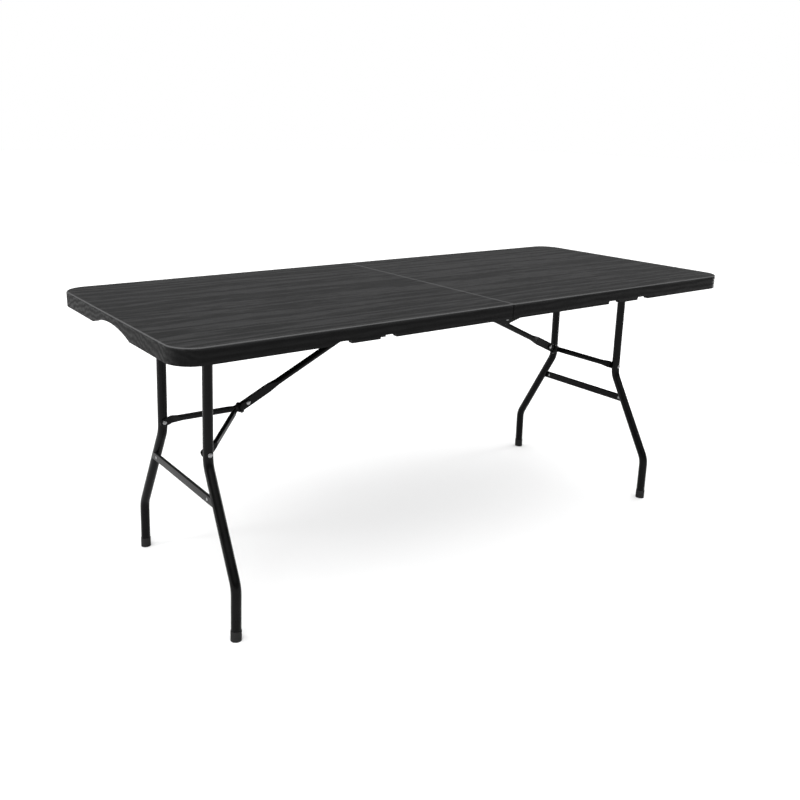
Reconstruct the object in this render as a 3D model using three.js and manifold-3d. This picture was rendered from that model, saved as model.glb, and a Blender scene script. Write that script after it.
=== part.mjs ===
// Bifold folding table: two moulded halves hinged across the middle, two folding leg sets.
// Millimetres, +Z up. Origin on the floor under the middle of the table, +X along the length,
// -Y towards the side with the carry handle.

import * as THREE from 'three';
import { mergeVertices } from 'three/addons/utils/BufferGeometryUtils.js';
import Module from 'manifold-3d';

const wasm = await Module();
wasm.setup();

// ---- Driving dimensions -------------------------------------------------------------------

// Overall
const TABLE_LENGTH = 1800;
const TABLE_WIDTH = 740;
const TABLE_HEIGHT = 740;
const SEAM_GAP = 1;

// Moulded tops
const SKIRT_DEPTH = 38;
const SKIRT_WALL = 14;
const SEAM_WALL = 8;
const PANEL_THICKNESS = 10;
const CORNER_RADIUS = 62;
const CHANNEL_SKIN = 5;
const SCALLOP_WIDTH = 236;
const SCALLOP_HEIGHT = 20;

// Side rails and the centre hinge
const RAIL_STEEL = 2;
const RAIL_FLANGE = 15;
const RAIL_LAYER_STEP = 2.7;
const RAIL_SKIRT_GAP = 4.5;
const RAIL_OVERRUN = 30;
const RAIL_RISE = 1.5;
const WEB_SEAM_INSET = 10;
const FLANGE_EAR_GAP = 6;
const POCKET_MARGIN = 4;
const EAR_RADIUS = 18;
const EAR_GUSSET = 80;
const HINGE_PIN_RADIUS = 4;
const HINGE_HEAD_RADIUS = 7;
const HINGE_HEAD_HEIGHT = 2.5;
const FOLD_GAP = 2;

// Leg sets
const LEG_RADIUS = 12.5;
const TUBE_WALL = 1.2;
const LEG_TOP_SPREAD = 270;
const LEG_FOOT_SPREAD = 556;
const UPPER_BEND_DROP = 325;
const LOWER_BEND_RISE = 134;
const BEND_TANGENT = 18;
const BEND_STEPS = 4;
const FOOT_SPLAY = 16;
const FOOT_TO_SEAM = 10;
const PIVOT_TUBE_RADIUS = 9.5;
const CAP_WALL = 0.6;
const CAP_HEIGHT = 26;
const CAP_FLOOR = 5;
const CAP_TRIM = 4;
const STRETCHER_DROP = 405;
const STRETCHER_HEIGHT = 24;
const STRETCHER_THICKNESS = 8;
const STRETCHER_OFFSET = 8.7;
const STRETCHER_RIVET_INSET = 26;

// Brace linkage
const YOKE_DROP = 300;
const YOKE_RADIUS = 8.5;
const YOKE_PLATE = 2.6;
const YOKE_APEX_LENGTH = 36;
const YOKE_APEX_HALF = 8;
const YOKE_FOOT_LENGTH = 20;
const YOKE_FOOT_HALF = 11;
const YOKE_TAPER = 20;
const YOKE_FOOT_TIP = 12;
const YOKE_APEX_TIP = 8;
const YOKE_TIP_ROUND = 3;
const YOKE_TIP_SHARE = 0.6;
const BRACE_RADIUS = 9;
const BRACE_PLATE = 5;
const BRACE_PLATE_HALF = 13;
const BRACE_PLATE_LENGTH = 62;
const BRACE_TAPER = 38;
const BRACE_TAIL = 34;
const BRACE_TAIL_CHAMFER = 7;
const BRACKET_PIN_RADIUS = 5;
const BRACKET_PIN_INSET = 26;
const BRACKET_PIN_DROP = 9;
const BRACKET_PIN_OVERHANG = 2.5;
const BRACKET_STEEL = 2;
const BRACKET_EAR_HALF = 9;
const BRACKET_EAR_GAP = 0.5;
const BRACKET_FLANGE = 21.5;
const BRACKET_LENGTH = 36;
const BRACKET_STRAP = 4.5;
const BRACKET_SEAM_GAP = 1.5;
const BRACE_EYE_RADIUS = 10.5;
const BRACE_EYE_WIDTH = 24;
const BRACE_EYE_OFFSET = 2.5;
const KNUCKLE_STOWED_RISE = 2.5;
const OVER_CENTRE = 0.9;
const RING_WALL = 2;
const RING_LENGTH = 7;
const RING_REST = 24;
const RING_TRAVEL = 150;

// Fasteners
const RIVET_RADIUS = 3;
const RIVET_HEAD_RADIUS = 6;
const RIVET_HEAD_HEIGHT = 2;
const SMALL_RIVET_RADIUS = 2;
const SMALL_RIVET_HEAD = 4;
const SMALL_RIVET_HEIGHT = 1;
const SCREW_RADIUS = 2;
const SCREW_HEAD_RADIUS = 4.5;
const SCREW_HEAD_HEIGHT = 2.5;
const SCREW_BITE = 6;
const SCREW_TIP_GAP = 0.5;
const CHANNEL_STOP = 60;
const GUSSET_EAR_INSET = 4;
const GUSSET_FOOT_SHARE = 0.97;
const CUT_MARGIN = 5;
const STRETCHER_CUT = 120;
const SCREWS_PER_RAIL = 3;
const SCREW_END_INSET = 95;

// Carry handle
const HANDLE_CENTRE = 451;
const HANDLE_SPAN = 123;
const HANDLE_REACH = 95;
const HANDLE_SETBACK = 48;
const HANDLE_ARM_WIDTH = 16;
const HANDLE_THICKNESS = 10;
const GRIP_RADIUS = 10;
const NOTCH_WIDTH = 46;
const NOTCH_DEPTH = 7.7;
const HANDLE_STUB_RADIUS = 3;
const HANDLE_STUB_LENGTH = 11;
const CLIP_WIDTH = 12;
const CLIP_DEPTH = 20;
const CLIP_DROP = 7;

// Clearances
const TOUCH_GAP = 0.3;
const RUNNING_GAP = 0.4;
const STOWED_GAP = 0.6;
const CHANNEL_SIDE_GAP = 2.6;

// ---- Sizes that follow ---------------------------------------------------------------------

const HALF_LENGTH = TABLE_LENGTH / 2;
const HALF_WIDTH = TABLE_WIDTH / 2;
const SKIRT_BOTTOM = TABLE_HEIGHT - SKIRT_DEPTH;
const PANEL_BOTTOM = TABLE_HEIGHT - PANEL_THICKNESS;
const CHANNEL_TOP = TABLE_HEIGHT - CHANNEL_SKIN;
const HINGE_HEIGHT = SKIRT_BOTTOM - FOLD_GAP / 2;
const CAVITY_HALF_WIDTH = HALF_WIDTH - SKIRT_WALL;

// A folded leg lies just inside the fold plane, so its pivot height follows the cap's radius.
const CAP_RADIUS = LEG_RADIUS + TOUCH_GAP + CAP_WALL;
const PIVOT_HEIGHT = HINGE_HEIGHT + CAP_RADIUS + STOWED_GAP;
const SPLAY_ANGLE = Math.atan(FOOT_SPLAY / PIVOT_HEIGHT);
const LEG_LENGTH = PIVOT_HEIGHT / Math.cos(SPLAY_ANGLE);
const PIVOT_REACH = LEG_LENGTH + FOOT_TO_SEAM;
const LOWER_BEND_DROP = LEG_LENGTH - LOWER_BEND_RISE;
const LEG_TOP_Y = LEG_TOP_SPREAD / 2;
const LEG_FOOT_Y = LEG_FOOT_SPREAD / 2;

const RAIL_TOP = PANEL_BOTTOM - TOUCH_GAP;
const RAIL_BOTTOM = SKIRT_BOTTOM + RAIL_RISE;
const RAIL_LENGTH = PIVOT_REACH + RAIL_OVERRUN;
const OUTER_RAIL_Y = CAVITY_HALF_WIDTH - RAIL_SKIRT_GAP - RAIL_STEEL;
const INNER_RAIL_Y = OUTER_RAIL_Y - RAIL_LAYER_STEP;
const SEAM_WALL_HALF = INNER_RAIL_Y - RAIL_FLANGE + POCKET_MARGIN;

const BRACKET_PIN_HEIGHT = PANEL_BOTTOM - BRACKET_PIN_DROP;
const RING_HALF_HEIGHT = BRACE_PLATE_HALF + TOUCH_GAP;
const RING_HALF_WIDTH = BRACE_RADIUS + RUNNING_GAP;
const CHANNEL_HALF = RING_HALF_WIDTH + RING_WALL + CHANNEL_SIDE_GAP;
const YOKE_FOOT_Y = LEG_TOP_Y - LEG_RADIUS - RUNNING_GAP - YOKE_PLATE / 2;
const YOKE_APEX_Y = BRACE_PLATE / 2 + TOUCH_GAP + YOKE_PLATE / 2;

const NOTCH_TOP = SKIRT_BOTTOM + NOTCH_DEPTH;
const HANDLE_PIVOT_Y = -(HALF_WIDTH - HANDLE_SETBACK);
const HANDLE_ARM_XS = [HANDLE_CENTRE - HANDLE_SPAN / 2, HANDLE_CENTRE + HANDLE_SPAN / 2];

// ---- Materials ------------------------------------------------------------------------------

const finish = (color, roughness, metalness) =>
  new THREE.MeshStandardMaterial({ color, roughness, metalness });
const FINISHES = {
  top: () => finish(0x2c2c2c, 0.6, 0),
  frame: () => finish(0x111112, 0.35, 0.2),
  zinc: () => finish(0x8d8f92, 0.35, 1),
  rubber: () => finish(0x0c0c0c, 0.85, 0),
  handle: () => finish(0x151515, 0.5, 0),
};

// ---- Solid helpers --------------------------------------------------------------------------

// A closed geometry as a solid that can be cut and joined.
function solid(geometry) {
  const bare = geometry.clone();
  bare.deleteAttribute('normal');
  bare.deleteAttribute('uv');
  const welded = mergeVertices(bare, 1e-4);
  return new wasm.Manifold(new wasm.Mesh({
    numProp: 3,
    vertProperties: new Float32Array(welded.attributes.position.array),
    triVerts: new Uint32Array(welded.index.array),
  }));
}

// A solid back as a geometry.
function geometryOf(body) {
  const mesh = body.getMesh();
  const geometry = new THREE.BufferGeometry();
  geometry.setAttribute('position', new THREE.BufferAttribute(new Float32Array(mesh.vertProperties), 3));
  geometry.setIndex(new THREE.BufferAttribute(new Uint32Array(mesh.triVerts), 1));
  return geometry;
}

const cut = (body, ...tools) => tools.reduce((left, tool) => left.subtract(solid(tool)), body);
const join = (body, ...others) => others.reduce((sum, other) => sum.add(solid(other)), body);

// A box between two corners.
function block(low, high) {
  const size = high.map((value, axis) => value - low[axis]);
  const middle = high.map((value, axis) => (value + low[axis]) / 2);
  return new THREE.BoxGeometry(...size).translate(...middle);
}

// A round bar along Y, centred on (x, z), between two Y values.
function barAlongY(radius, x, z, yLow, yHigh, sides = 20) {
  return new THREE.CylinderGeometry(radius, radius, yHigh - yLow, sides)
    .translate(x, (yLow + yHigh) / 2, z);
}

// A round bar along X.
function barAlongX(radius, y, z, xLow, xHigh, sides = 16) {
  return new THREE.CylinderGeometry(radius, radius, xHigh - xLow, sides)
    .rotateZ(Math.PI / 2)
    .translate((xLow + xHigh) / 2, y, z);
}

// A round bar along Z.
function barAlongZ(radius, x, y, zLow, zHigh, sides = 12) {
  return new THREE.CylinderGeometry(radius, radius, zHigh - zLow, sides)
    .rotateX(Math.PI / 2)
    .translate(x, y, (zLow + zHigh) / 2);
}

// An outline in X and Y, raised from zLow to zHigh.
function raised(shape, zLow, zHigh, curveSegments = 8) {
  return new THREE.ExtrudeGeometry(shape, { depth: zHigh - zLow, bevelEnabled: false, curveSegments })
    .translate(0, 0, zLow);
}

// An outline in X and Z, given thickness between two Y values.
function upright(shape, yLow, yHigh, curveSegments = 12) {
  return new THREE.ExtrudeGeometry(shape, { depth: yHigh - yLow, bevelEnabled: false, curveSegments })
    .rotateX(Math.PI / 2)
    .translate(0, yHigh, 0);
}

function outline(points) {
  return new THREE.Shape(points.map(([x, y]) => new THREE.Vector2(x, y)));
}

// A path through chosen stations, each with a section square to the bend there.
class StationPath extends THREE.Curve {
  constructor(stations) {
    super();
    this.stations = stations;
  }

  getPoint(t) {
    const place = t * (this.stations.length - 1);
    const index = Math.min(Math.floor(place), this.stations.length - 2);
    return this.stations[index].clone().lerp(this.stations[index + 1], place - index);
  }

  getPointAt(u) {
    return this.getPoint(u);
  }

  getTangentAt(u) {
    const last = this.stations.length - 1;
    const index = Math.round(u * last);
    const here = this.stations[index];
    const next = this.stations[Math.min(index + 1, last)];
    const previous = this.stations[Math.max(index - 1, 0)];
    const arriving = here.clone().sub(previous).normalize();
    const leaving = next.clone().sub(here).normalize();
    return arriving.add(leaving).normalize();
  }
}

// A round tube along a station path.
function tubeAlong(path, radius, wall, sides = 12) {
  const shape = new THREE.Shape();
  shape.absarc(0, 0, radius, 0, Math.PI * 2);
  const bore = new THREE.Path();
  bore.absarc(0, 0, radius - wall, 0, Math.PI * 2);
  shape.holes.push(bore);
  return new THREE.ExtrudeGeometry(shape, {
    extrudePath: path,
    steps: path.stations.length - 1,
    curveSegments: sides / 2,
  });
}

// A pin with round heads, along +Y from yStart: first head, shank, second head.
function headedPin(x, z, yStart, shank, shankRadius, headRadius, heads, sides = 10) {
  const [first, second] = heads;
  const points = [[0, 0]];
  if (first > 0) {
    points.push([headRadius * 0.7, 0], [headRadius, first * 0.55], [headRadius, first]);
  }
  points.push([shankRadius, first], [shankRadius, first + shank]);
  if (second > 0) {
    const top = first + shank + second;
    points.push([headRadius, first + shank], [headRadius, top - second * 0.55], [headRadius * 0.7, top]);
  }
  points.push([0, first + shank + second]);
  return new THREE.LatheGeometry(points.map(([r, y]) => new THREE.Vector2(r, y)), sides)
    .translate(x, yStart, z);
}

// ---- The model ------------------------------------------------------------------------------

const table = new THREE.Group();

function piece(parent, name, shape, look) {
  const geometry = shape instanceof THREE.BufferGeometry ? shape : geometryOf(shape);
  const mesh = new THREE.Mesh(geometry, FINISHES[look]());
  mesh.name = name;
  parent.add(mesh);
  return mesh;
}

// Each half is drawn reaching towards -X from the seam. The right half is the same drawing
// turned half round, so its local +Y is the front of the table.
const SIDES = [
  { side: 'left', turn: 0, frontY: -1, railY: OUTER_RAIL_Y },
  { side: 'right', turn: Math.PI, frontY: 1, railY: INNER_RAIL_Y },
];
const edgeName = (half, ySign) => (ySign === half.frontY ? 'front' : 'back');

// ---- Moulded top ----------------------------------------------------------------------------

// Plan of one half: square corners at the seam, round corners at the outer end.
function halfPlan(seamX, inset) {
  const end = -HALF_LENGTH + inset;
  const edge = HALF_WIDTH - inset;
  const radius = CORNER_RADIUS - inset;
  const shape = new THREE.Shape();
  shape.moveTo(seamX, -edge);
  shape.lineTo(seamX, edge);
  shape.lineTo(end + radius, edge);
  shape.absarc(end + radius, edge - radius, radius, Math.PI / 2, Math.PI, false);
  shape.lineTo(end, -edge + radius);
  shape.absarc(end + radius, -edge + radius, radius, Math.PI, Math.PI * 1.5, false);
  return shape;
}

// Finger scallop in the bottom of the end skirt, an arc of the stated width and height.
function scallopCutter() {
  const half = SCALLOP_WIDTH / 2;
  const radius = (half * half + SCALLOP_HEIGHT * SCALLOP_HEIGHT) / (2 * SCALLOP_HEIGHT);
  return new THREE.CylinderGeometry(radius, radius, SKIRT_WALL + CUT_MARGIN, 96)
    .rotateZ(Math.PI / 2)
    .translate(-HALF_LENGTH + SKIRT_WALL / 2, 0, SKIRT_BOTTOM + SCALLOP_HEIGHT - radius);
}

// The two notches in the front skirt that the carry handle's arms pass through.
function notchCutters(frontY) {
  return HANDLE_ARM_XS.map((x) => {
    const near = frontY * (HALF_WIDTH + 1);
    const far = frontY * (INNER_RAIL_Y - 1);
    return block(
      [-x - NOTCH_WIDTH / 2, Math.min(near, far), SKIRT_BOTTOM - CUT_MARGIN],
      [-x + NOTCH_WIDTH / 2, Math.max(near, far), NOTCH_TOP],
    );
  });
}

function screwXs() {
  const first = -SCREW_END_INSET;
  const last = -RAIL_LENGTH + SCREW_END_INSET;
  return Array.from({ length: SCREWS_PER_RAIL }, (_, index) =>
    first + ((last - first) * index) / (SCREWS_PER_RAIL - 1));
}

const screwY = (half, ySign) => ySign * (half.railY - RAIL_FLANGE / 2);

const screwHolesThrough = (half, ySign, zLow, zHigh) => screwXs().map((x) =>
  barAlongZ(SCREW_RADIUS + RUNNING_GAP, x, screwY(half, ySign), zLow, zHigh, 10));

function addTop(group, half) {
  const seamX = -SEAM_GAP / 2;
  const cavity = raised(halfPlan(seamX - SEAM_WALL, SKIRT_WALL), SKIRT_BOTTOM - 1, PANEL_BOTTOM);
  const earPockets = [-1, 1].map((ySign) => {
    const near = ySign * SEAM_WALL_HALF;
    const far = ySign * CAVITY_HALF_WIDTH;
    return block(
      [seamX - SEAM_WALL - 1, Math.min(near, far), SKIRT_BOTTOM - 1],
      [1, Math.max(near, far), PANEL_BOTTOM],
    );
  });
  const channel = block(
    [-PIVOT_REACH + CHANNEL_STOP, -CHANNEL_HALF, PANEL_BOTTOM - 1],
    [seamX - SEAM_WALL, CHANNEL_HALF, CHANNEL_TOP],
  );
  const screwHoles = [-1, 1].flatMap((ySign) =>
    screwHolesThrough(half, ySign, PANEL_BOTTOM - 1, PANEL_BOTTOM + SCREW_BITE + SCREW_TIP_GAP));
  const body = cut(
    solid(raised(halfPlan(seamX, 0), SKIRT_BOTTOM, TABLE_HEIGHT)),
    cavity,
    ...earPockets,
    channel,
    scallopCutter(),
    ...notchCutters(half.frontY),
    ...screwHoles,
  );
  piece(group, `top_${half.side}`, body, 'top');
}

// ---- Side rails, their screws and the brace bracket -----------------------------------------

// One L-section rail: an upright web with the hinge ear on its seam end, and a flange on top.
function addRails(group, half) {
  for (const ySign of [-1, 1]) {
    const span = [ySign * half.railY, ySign * (half.railY + RAIL_STEEL)].sort((a, b) => a - b);
    const flange = [ySign * (half.railY + RAIL_STEEL), ySign * (half.railY - RAIL_FLANGE)]
      .sort((a, b) => a - b);
    const web = solid(block([-RAIL_LENGTH, span[0], RAIL_BOTTOM], [-WEB_SEAM_INSET, span[1], RAIL_TOP]));
    const gusset = outline([
      [-EAR_GUSSET, RAIL_BOTTOM + 1],
      [-EAR_GUSSET, RAIL_BOTTOM],
      [-GUSSET_EAR_INSET, HINGE_HEIGHT - EAR_RADIUS * GUSSET_FOOT_SHARE],
      [-GUSSET_EAR_INSET, HINGE_HEIGHT],
      [-WEB_SEAM_INSET, RAIL_TOP - RAIL_STEEL],
      [-EAR_GUSSET, RAIL_TOP - RAIL_STEEL],
    ]);
    const rail = cut(
      join(
        web,
        upright(gusset, ...span),
        barAlongY(EAR_RADIUS, 0, HINGE_HEIGHT, ...span, 24),
        block(
          [-RAIL_LENGTH, flange[0], RAIL_TOP - RAIL_STEEL],
          [-EAR_RADIUS - FLANGE_EAR_GAP, flange[1], RAIL_TOP],
        ),
      ),
      barAlongY(HINGE_PIN_RADIUS + RUNNING_GAP, 0, HINGE_HEIGHT, span[0] - 1, span[1] + 1),
      barAlongY(PIVOT_TUBE_RADIUS + RUNNING_GAP, -PIVOT_REACH, PIVOT_HEIGHT, span[0] - 1, span[1] + 1, 24),
      ...notchCutters(half.frontY),
      ...screwHolesThrough(half, ySign, RAIL_TOP - RAIL_STEEL - 1, RAIL_TOP + 1),
    );
    const edge = edgeName(half, ySign);
    piece(group, `rail_${half.side}_${edge}`, rail, 'frame');
    screwXs().forEach((x, index) => {
      const shank = RAIL_STEEL + TOUCH_GAP * 2 + SCREW_BITE;
      const screw = headedPin(0, 0, 0, shank, SCREW_RADIUS, SCREW_HEAD_RADIUS, [SCREW_HEAD_HEIGHT, 0], 8)
        .rotateX(Math.PI / 2)
        .translate(x, screwY(half, ySign), RAIL_TOP - RAIL_STEEL - TOUCH_GAP - SCREW_HEAD_HEIGHT);
      piece(group, `rail_screw_${half.side}_${edge}_${index + 1}`, screw, 'zinc');
    });
  }
}

// Pressed bracket under the panel beside the seam, with the brace's pin welded across its ears.
// A strap on the seam side joins its two flanges, and the brace swings in between them.
function addBraceBracket(group, half) {
  const earInner = BRACE_EYE_WIDTH / 2 + BRACKET_EAR_GAP;
  const earOuter = earInner + BRACKET_STEEL;
  const flangeEnd = earInner + BRACKET_FLANGE;
  const seamEnd = -SEAM_GAP / 2 - SEAM_WALL - BRACKET_SEAM_GAP;
  const low = RAIL_TOP - BRACKET_STEEL;
  const pinEnd = earOuter + BRACKET_PIN_OVERHANG;
  const pin = barAlongY(BRACKET_PIN_RADIUS, -BRACKET_PIN_INSET, BRACKET_PIN_HEIGHT, -pinEnd, pinEnd, 16);
  const sides = [-1, 1].flatMap((ySign) => {
    const ear = [ySign * earInner, ySign * earOuter].sort((a, b) => a - b);
    const flange = [ySign * earInner, ySign * flangeEnd].sort((a, b) => a - b);
    return [
      barAlongY(BRACKET_EAR_HALF, -BRACKET_PIN_INSET, BRACKET_PIN_HEIGHT, ...ear, 20),
      block(
        [-BRACKET_PIN_INSET - BRACKET_EAR_HALF, ear[0], BRACKET_PIN_HEIGHT],
        [-BRACKET_PIN_INSET + BRACKET_EAR_HALF, ear[1], RAIL_TOP],
      ),
      block([seamEnd - BRACKET_LENGTH, flange[0], low], [seamEnd, flange[1], RAIL_TOP]),
    ];
  });
  const strap = block([seamEnd - BRACKET_STRAP, -earOuter, low], [seamEnd, earOuter, RAIL_TOP]);
  piece(group, `brace_bracket_${half.side}`, join(solid(pin), ...sides, strap), 'frame');
}

// The two hinge pins, each through one outer and one inner ear.
function addHingePins() {
  for (const ySign of [-1, 1]) {
    const low = INNER_RAIL_Y - TOUCH_GAP;
    const high = OUTER_RAIL_Y + RAIL_STEEL + TOUCH_GAP;
    const start = ySign > 0 ? low - HINGE_HEAD_HEIGHT : -high - HINGE_HEAD_HEIGHT;
    const pin = headedPin(0, HINGE_HEIGHT, start, high - low, HINGE_PIN_RADIUS, HINGE_HEAD_RADIUS,
      [HINGE_HEAD_HEIGHT, HINGE_HEAD_HEIGHT], 14);
    piece(table, `hinge_pin_${ySign < 0 ? 'front' : 'back'}`, pin, 'zinc');
  }
}

// ---- Leg set --------------------------------------------------------------------------------

// Centreline of one leg in the leg set's own frame: origin at the pivot, -Z down the leg.
function legPath(ySign) {
  const top = new THREE.Vector3(0, ySign * LEG_TOP_Y, 0);
  const upper = new THREE.Vector3(0, ySign * LEG_TOP_Y, -UPPER_BEND_DROP);
  const lower = new THREE.Vector3(0, ySign * LEG_FOOT_Y, -LOWER_BEND_DROP);
  const foot = new THREE.Vector3(0, ySign * LEG_FOOT_Y, -(LEG_LENGTH - CAP_FLOOR - TOUCH_GAP));
  const stations = [top];
  [[top, upper, lower], [upper, lower, foot]].forEach(([before, corner, after]) => {
    const start = corner.clone().add(before.clone().sub(corner).setLength(BEND_TANGENT));
    const end = corner.clone().add(after.clone().sub(corner).setLength(BEND_TANGENT));
    stations.push(...new THREE.QuadraticBezierCurve3(start, corner, end).getPoints(BEND_STEPS));
  });
  stations.push(foot);
  return new StationPath(stations);
}

// Half spread of the legs at a drop below the pivot.
function legSpreadAt(drop) {
  const share = (drop - UPPER_BEND_DROP) / (LOWER_BEND_DROP - UPPER_BEND_DROP);
  return LEG_TOP_Y + (LEG_FOOT_Y - LEG_TOP_Y) * Math.min(Math.max(share, 0), 1);
}

// The splayed frame of a leg set. Its local -X is outwards, towards the end of the table.
function legFrame() {
  const frame = new THREE.Group();
  frame.position.set(-PIVOT_REACH, 0, PIVOT_HEIGHT);
  frame.rotation.y = SPLAY_ANGLE;
  frame.updateMatrix();
  return frame;
}

function stretcher() {
  const half = STRETCHER_HEIGHT / 2;
  const round = STRETCHER_THICKNESS / 2;
  const section = new THREE.Shape();
  section.absarc(0, half - round, round, 0, Math.PI, false);
  section.absarc(0, -half + round, round, Math.PI, Math.PI * 2, false);
  const reach = legSpreadAt(STRETCHER_DROP);
  const blank = reach + STRETCHER_HEIGHT;
  const length = blank * 2;
  const bar = new THREE.ExtrudeGeometry(section, { depth: length, bevelEnabled: false, curveSegments: 6 })
    .translate(0, 0, -blank)
    .rotateX(Math.PI / 2)
    .translate(-STRETCHER_OFFSET, 0, -STRETCHER_DROP);
  const slope = Math.atan((LEG_FOOT_Y - LEG_TOP_Y) / (LOWER_BEND_DROP - UPPER_BEND_DROP));
  const saddles = [-1, 1].map((ySign) =>
    new THREE.CylinderGeometry(LEG_RADIUS + TOUCH_GAP, LEG_RADIUS + TOUCH_GAP, STRETCHER_CUT, 32)
      .rotateX(Math.PI / 2 + ySign * slope)
      .translate(0, ySign * reach, -STRETCHER_DROP));
  const trims = [-1, 1].map((ySign) =>
    new THREE.BoxGeometry(STRETCHER_CUT, STRETCHER_CUT, STRETCHER_CUT)
      .translate(0, ySign * STRETCHER_CUT / 2, 0)
      .rotateX(ySign * slope)
      .translate(0, ySign * reach, -STRETCHER_DROP));
  const rivetY = reach - STRETCHER_RIVET_INSET;
  const across = [-STRETCHER_CUT / 2, STRETCHER_CUT / 2];
  const holes = [-1, 1].map((ySign) =>
    barAlongX(SMALL_RIVET_RADIUS + RUNNING_GAP, ySign * rivetY, -STRETCHER_DROP, ...across, 10));
  return { body: cut(solid(bar), ...saddles, ...trims, ...holes), rivetY };
}

function addLegSet(group, half) {
  const frame = legFrame();
  group.add(frame);
  const tubeEnd = half.railY + RAIL_STEEL + 2;
  const pivotTube = cut(
    solid(barAlongY(PIVOT_TUBE_RADIUS, 0, 0, -tubeEnd, tubeEnd, 16)),
    barAlongY(PIVOT_TUBE_RADIUS - TUBE_WALL, 0, 0, -tubeEnd - 1, tubeEnd + 1, 16),
  );
  piece(frame, `pivot_tube_${half.side}`, pivotTube, 'frame');

  const bar = stretcher();
  piece(frame, `stretcher_${half.side}`, bar.body, 'frame');

  for (const ySign of [-1, 1]) {
    const edge = edgeName(half, ySign);
    const across = [ySign * LEG_TOP_Y - LEG_RADIUS * 2, ySign * LEG_TOP_Y + LEG_RADIUS * 2];
    const leg = cut(
      solid(tubeAlong(legPath(ySign), LEG_RADIUS, TUBE_WALL)),
      barAlongY(PIVOT_TUBE_RADIUS + TOUCH_GAP, 0, 0, ...across, 24),
      barAlongY(RIVET_RADIUS + RUNNING_GAP, 0, -YOKE_DROP, ...across, 10),
    );
    piece(frame, `leg_${half.side}_${edge}`, leg, 'frame');

    const inner = LEG_TOP_Y - LEG_RADIUS + 0.2;
    const outer = LEG_TOP_Y + LEG_RADIUS + TOUCH_GAP;
    const heads = ySign > 0 ? [0, RIVET_HEAD_HEIGHT] : [RIVET_HEAD_HEIGHT, 0];
    const start = ySign > 0 ? inner : -outer - RIVET_HEAD_HEIGHT;
    const rivet = headedPin(0, -YOKE_DROP, start, outer - inner, RIVET_RADIUS, RIVET_HEAD_RADIUS, heads);
    piece(frame, `leg_rivet_${half.side}_${edge}`, rivet, 'zinc');

    const gauge = STRETCHER_THICKNESS + TOUCH_GAP * 2;
    const small = headedPin(0, 0, 0, gauge, SMALL_RIVET_RADIUS, SMALL_RIVET_HEAD,
      [SMALL_RIVET_HEIGHT, SMALL_RIVET_HEIGHT], 8)
      .translate(0, -gauge / 2 - SMALL_RIVET_HEIGHT, 0)
      .rotateZ(Math.PI / 2)
      .translate(-STRETCHER_OFFSET, ySign * bar.rivetY, -STRETCHER_DROP);
    piece(frame, `stretcher_rivet_${half.side}_${edge}`, small, 'zinc');

    const bore = LEG_RADIUS + TOUCH_GAP;
    const cup = new THREE.LatheGeometry([
      [0, -CAP_TRIM],
      [CAP_RADIUS, -CAP_TRIM],
      [CAP_RADIUS, CAP_HEIGHT],
      [bore, CAP_HEIGHT],
      [bore, CAP_FLOOR],
      [0, CAP_FLOOR],
    ].map(([r, z]) => new THREE.Vector2(r, z)), 16)
      .rotateX(Math.PI / 2)
      .translate(0, ySign * LEG_FOOT_Y, -LEG_LENGTH);
    const standing = cup.applyMatrix4(frame.matrix);
    const floor = block([-HALF_LENGTH * 2, -HALF_WIDTH * 2, -50], [HALF_LENGTH * 2, HALF_WIDTH * 2, 0]);
    piece(group, `foot_cap_${half.side}_${edge}`, cut(solid(standing), floor), 'rubber');
  }
}

// ---- Brace linkage --------------------------------------------------------------------------

// The linkage closes both with the legs down and with them folded flat. In the X-Z plane the
// legs turn about P, a yoke runs from A on the legs to the knuckle B, and a brace runs from B to
// the bracket's pin at Q. The yoke is as long as closing both ways needs, plus a small over-centre margin.
function solveLinkage() {
  const pivot = new THREE.Vector2(-PIVOT_REACH, PIVOT_HEIGHT);
  const anchor = new THREE.Vector2(-BRACKET_PIN_INSET, BRACKET_PIN_HEIGHT);
  const foldAngle = Math.PI / 2 + SPLAY_ANGLE;
  const legPoint = (turn) => new THREE.Vector2(Math.sin(turn - SPLAY_ANGLE), -Math.cos(turn - SPLAY_ANGLE))
    .multiplyScalar(YOKE_DROP)
    .add(pivot);
  const down = legPoint(0);
  const stowed = legPoint(foldAngle);
  const span = down.distanceTo(anchor);
  let yoke = YOKE_DROP / 2;
  let brace = 0;
  let knuckleStowed = null;
  for (let pass = 0; pass < 20; pass += 1) {
    const run = Math.sqrt(yoke * yoke - KNUCKLE_STOWED_RISE * KNUCKLE_STOWED_RISE);
    knuckleStowed = new THREE.Vector2(stowed.x - run, stowed.y + KNUCKLE_STOWED_RISE);
    brace = knuckleStowed.distanceTo(anchor);
    yoke += (span + OVER_CENTRE - yoke - brace) / 2;
  }
  const bend = Math.acos((yoke * yoke + span * span - brace * brace) / (2 * yoke * span));
  const yokeAngle = anchor.clone().sub(down).angle() - bend;
  const yokeRun = new THREE.Vector2(Math.cos(yokeAngle), Math.sin(yokeAngle)).multiplyScalar(yoke);
  const knuckle = down.clone().add(yokeRun);
  const braceAngle = anchor.clone().sub(knuckle).angle();
  const yokeStowed = knuckleStowed.clone().sub(stowed).angle();
  const braceStowed = anchor.clone().sub(knuckleStowed).angle();
  const fullTurn = braceStowed > Math.PI ? Math.PI * 2 : 0;
  const braceTurn = braceStowed - fullTurn - braceAngle;
  return {
    down, knuckle, anchor, yoke, brace, yokeAngle, braceAngle, foldAngle,
    braceTurn,
    yokeTurn: yokeStowed - yokeAngle - braceTurn,
  };
}

const LINKAGE = solveLinkage();

const ramp = (value, from, to) => Math.min(Math.max((value - from) / (to - from), 0), 1);
const mix = (from, to, share) => from + (to - from) * share;

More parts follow.
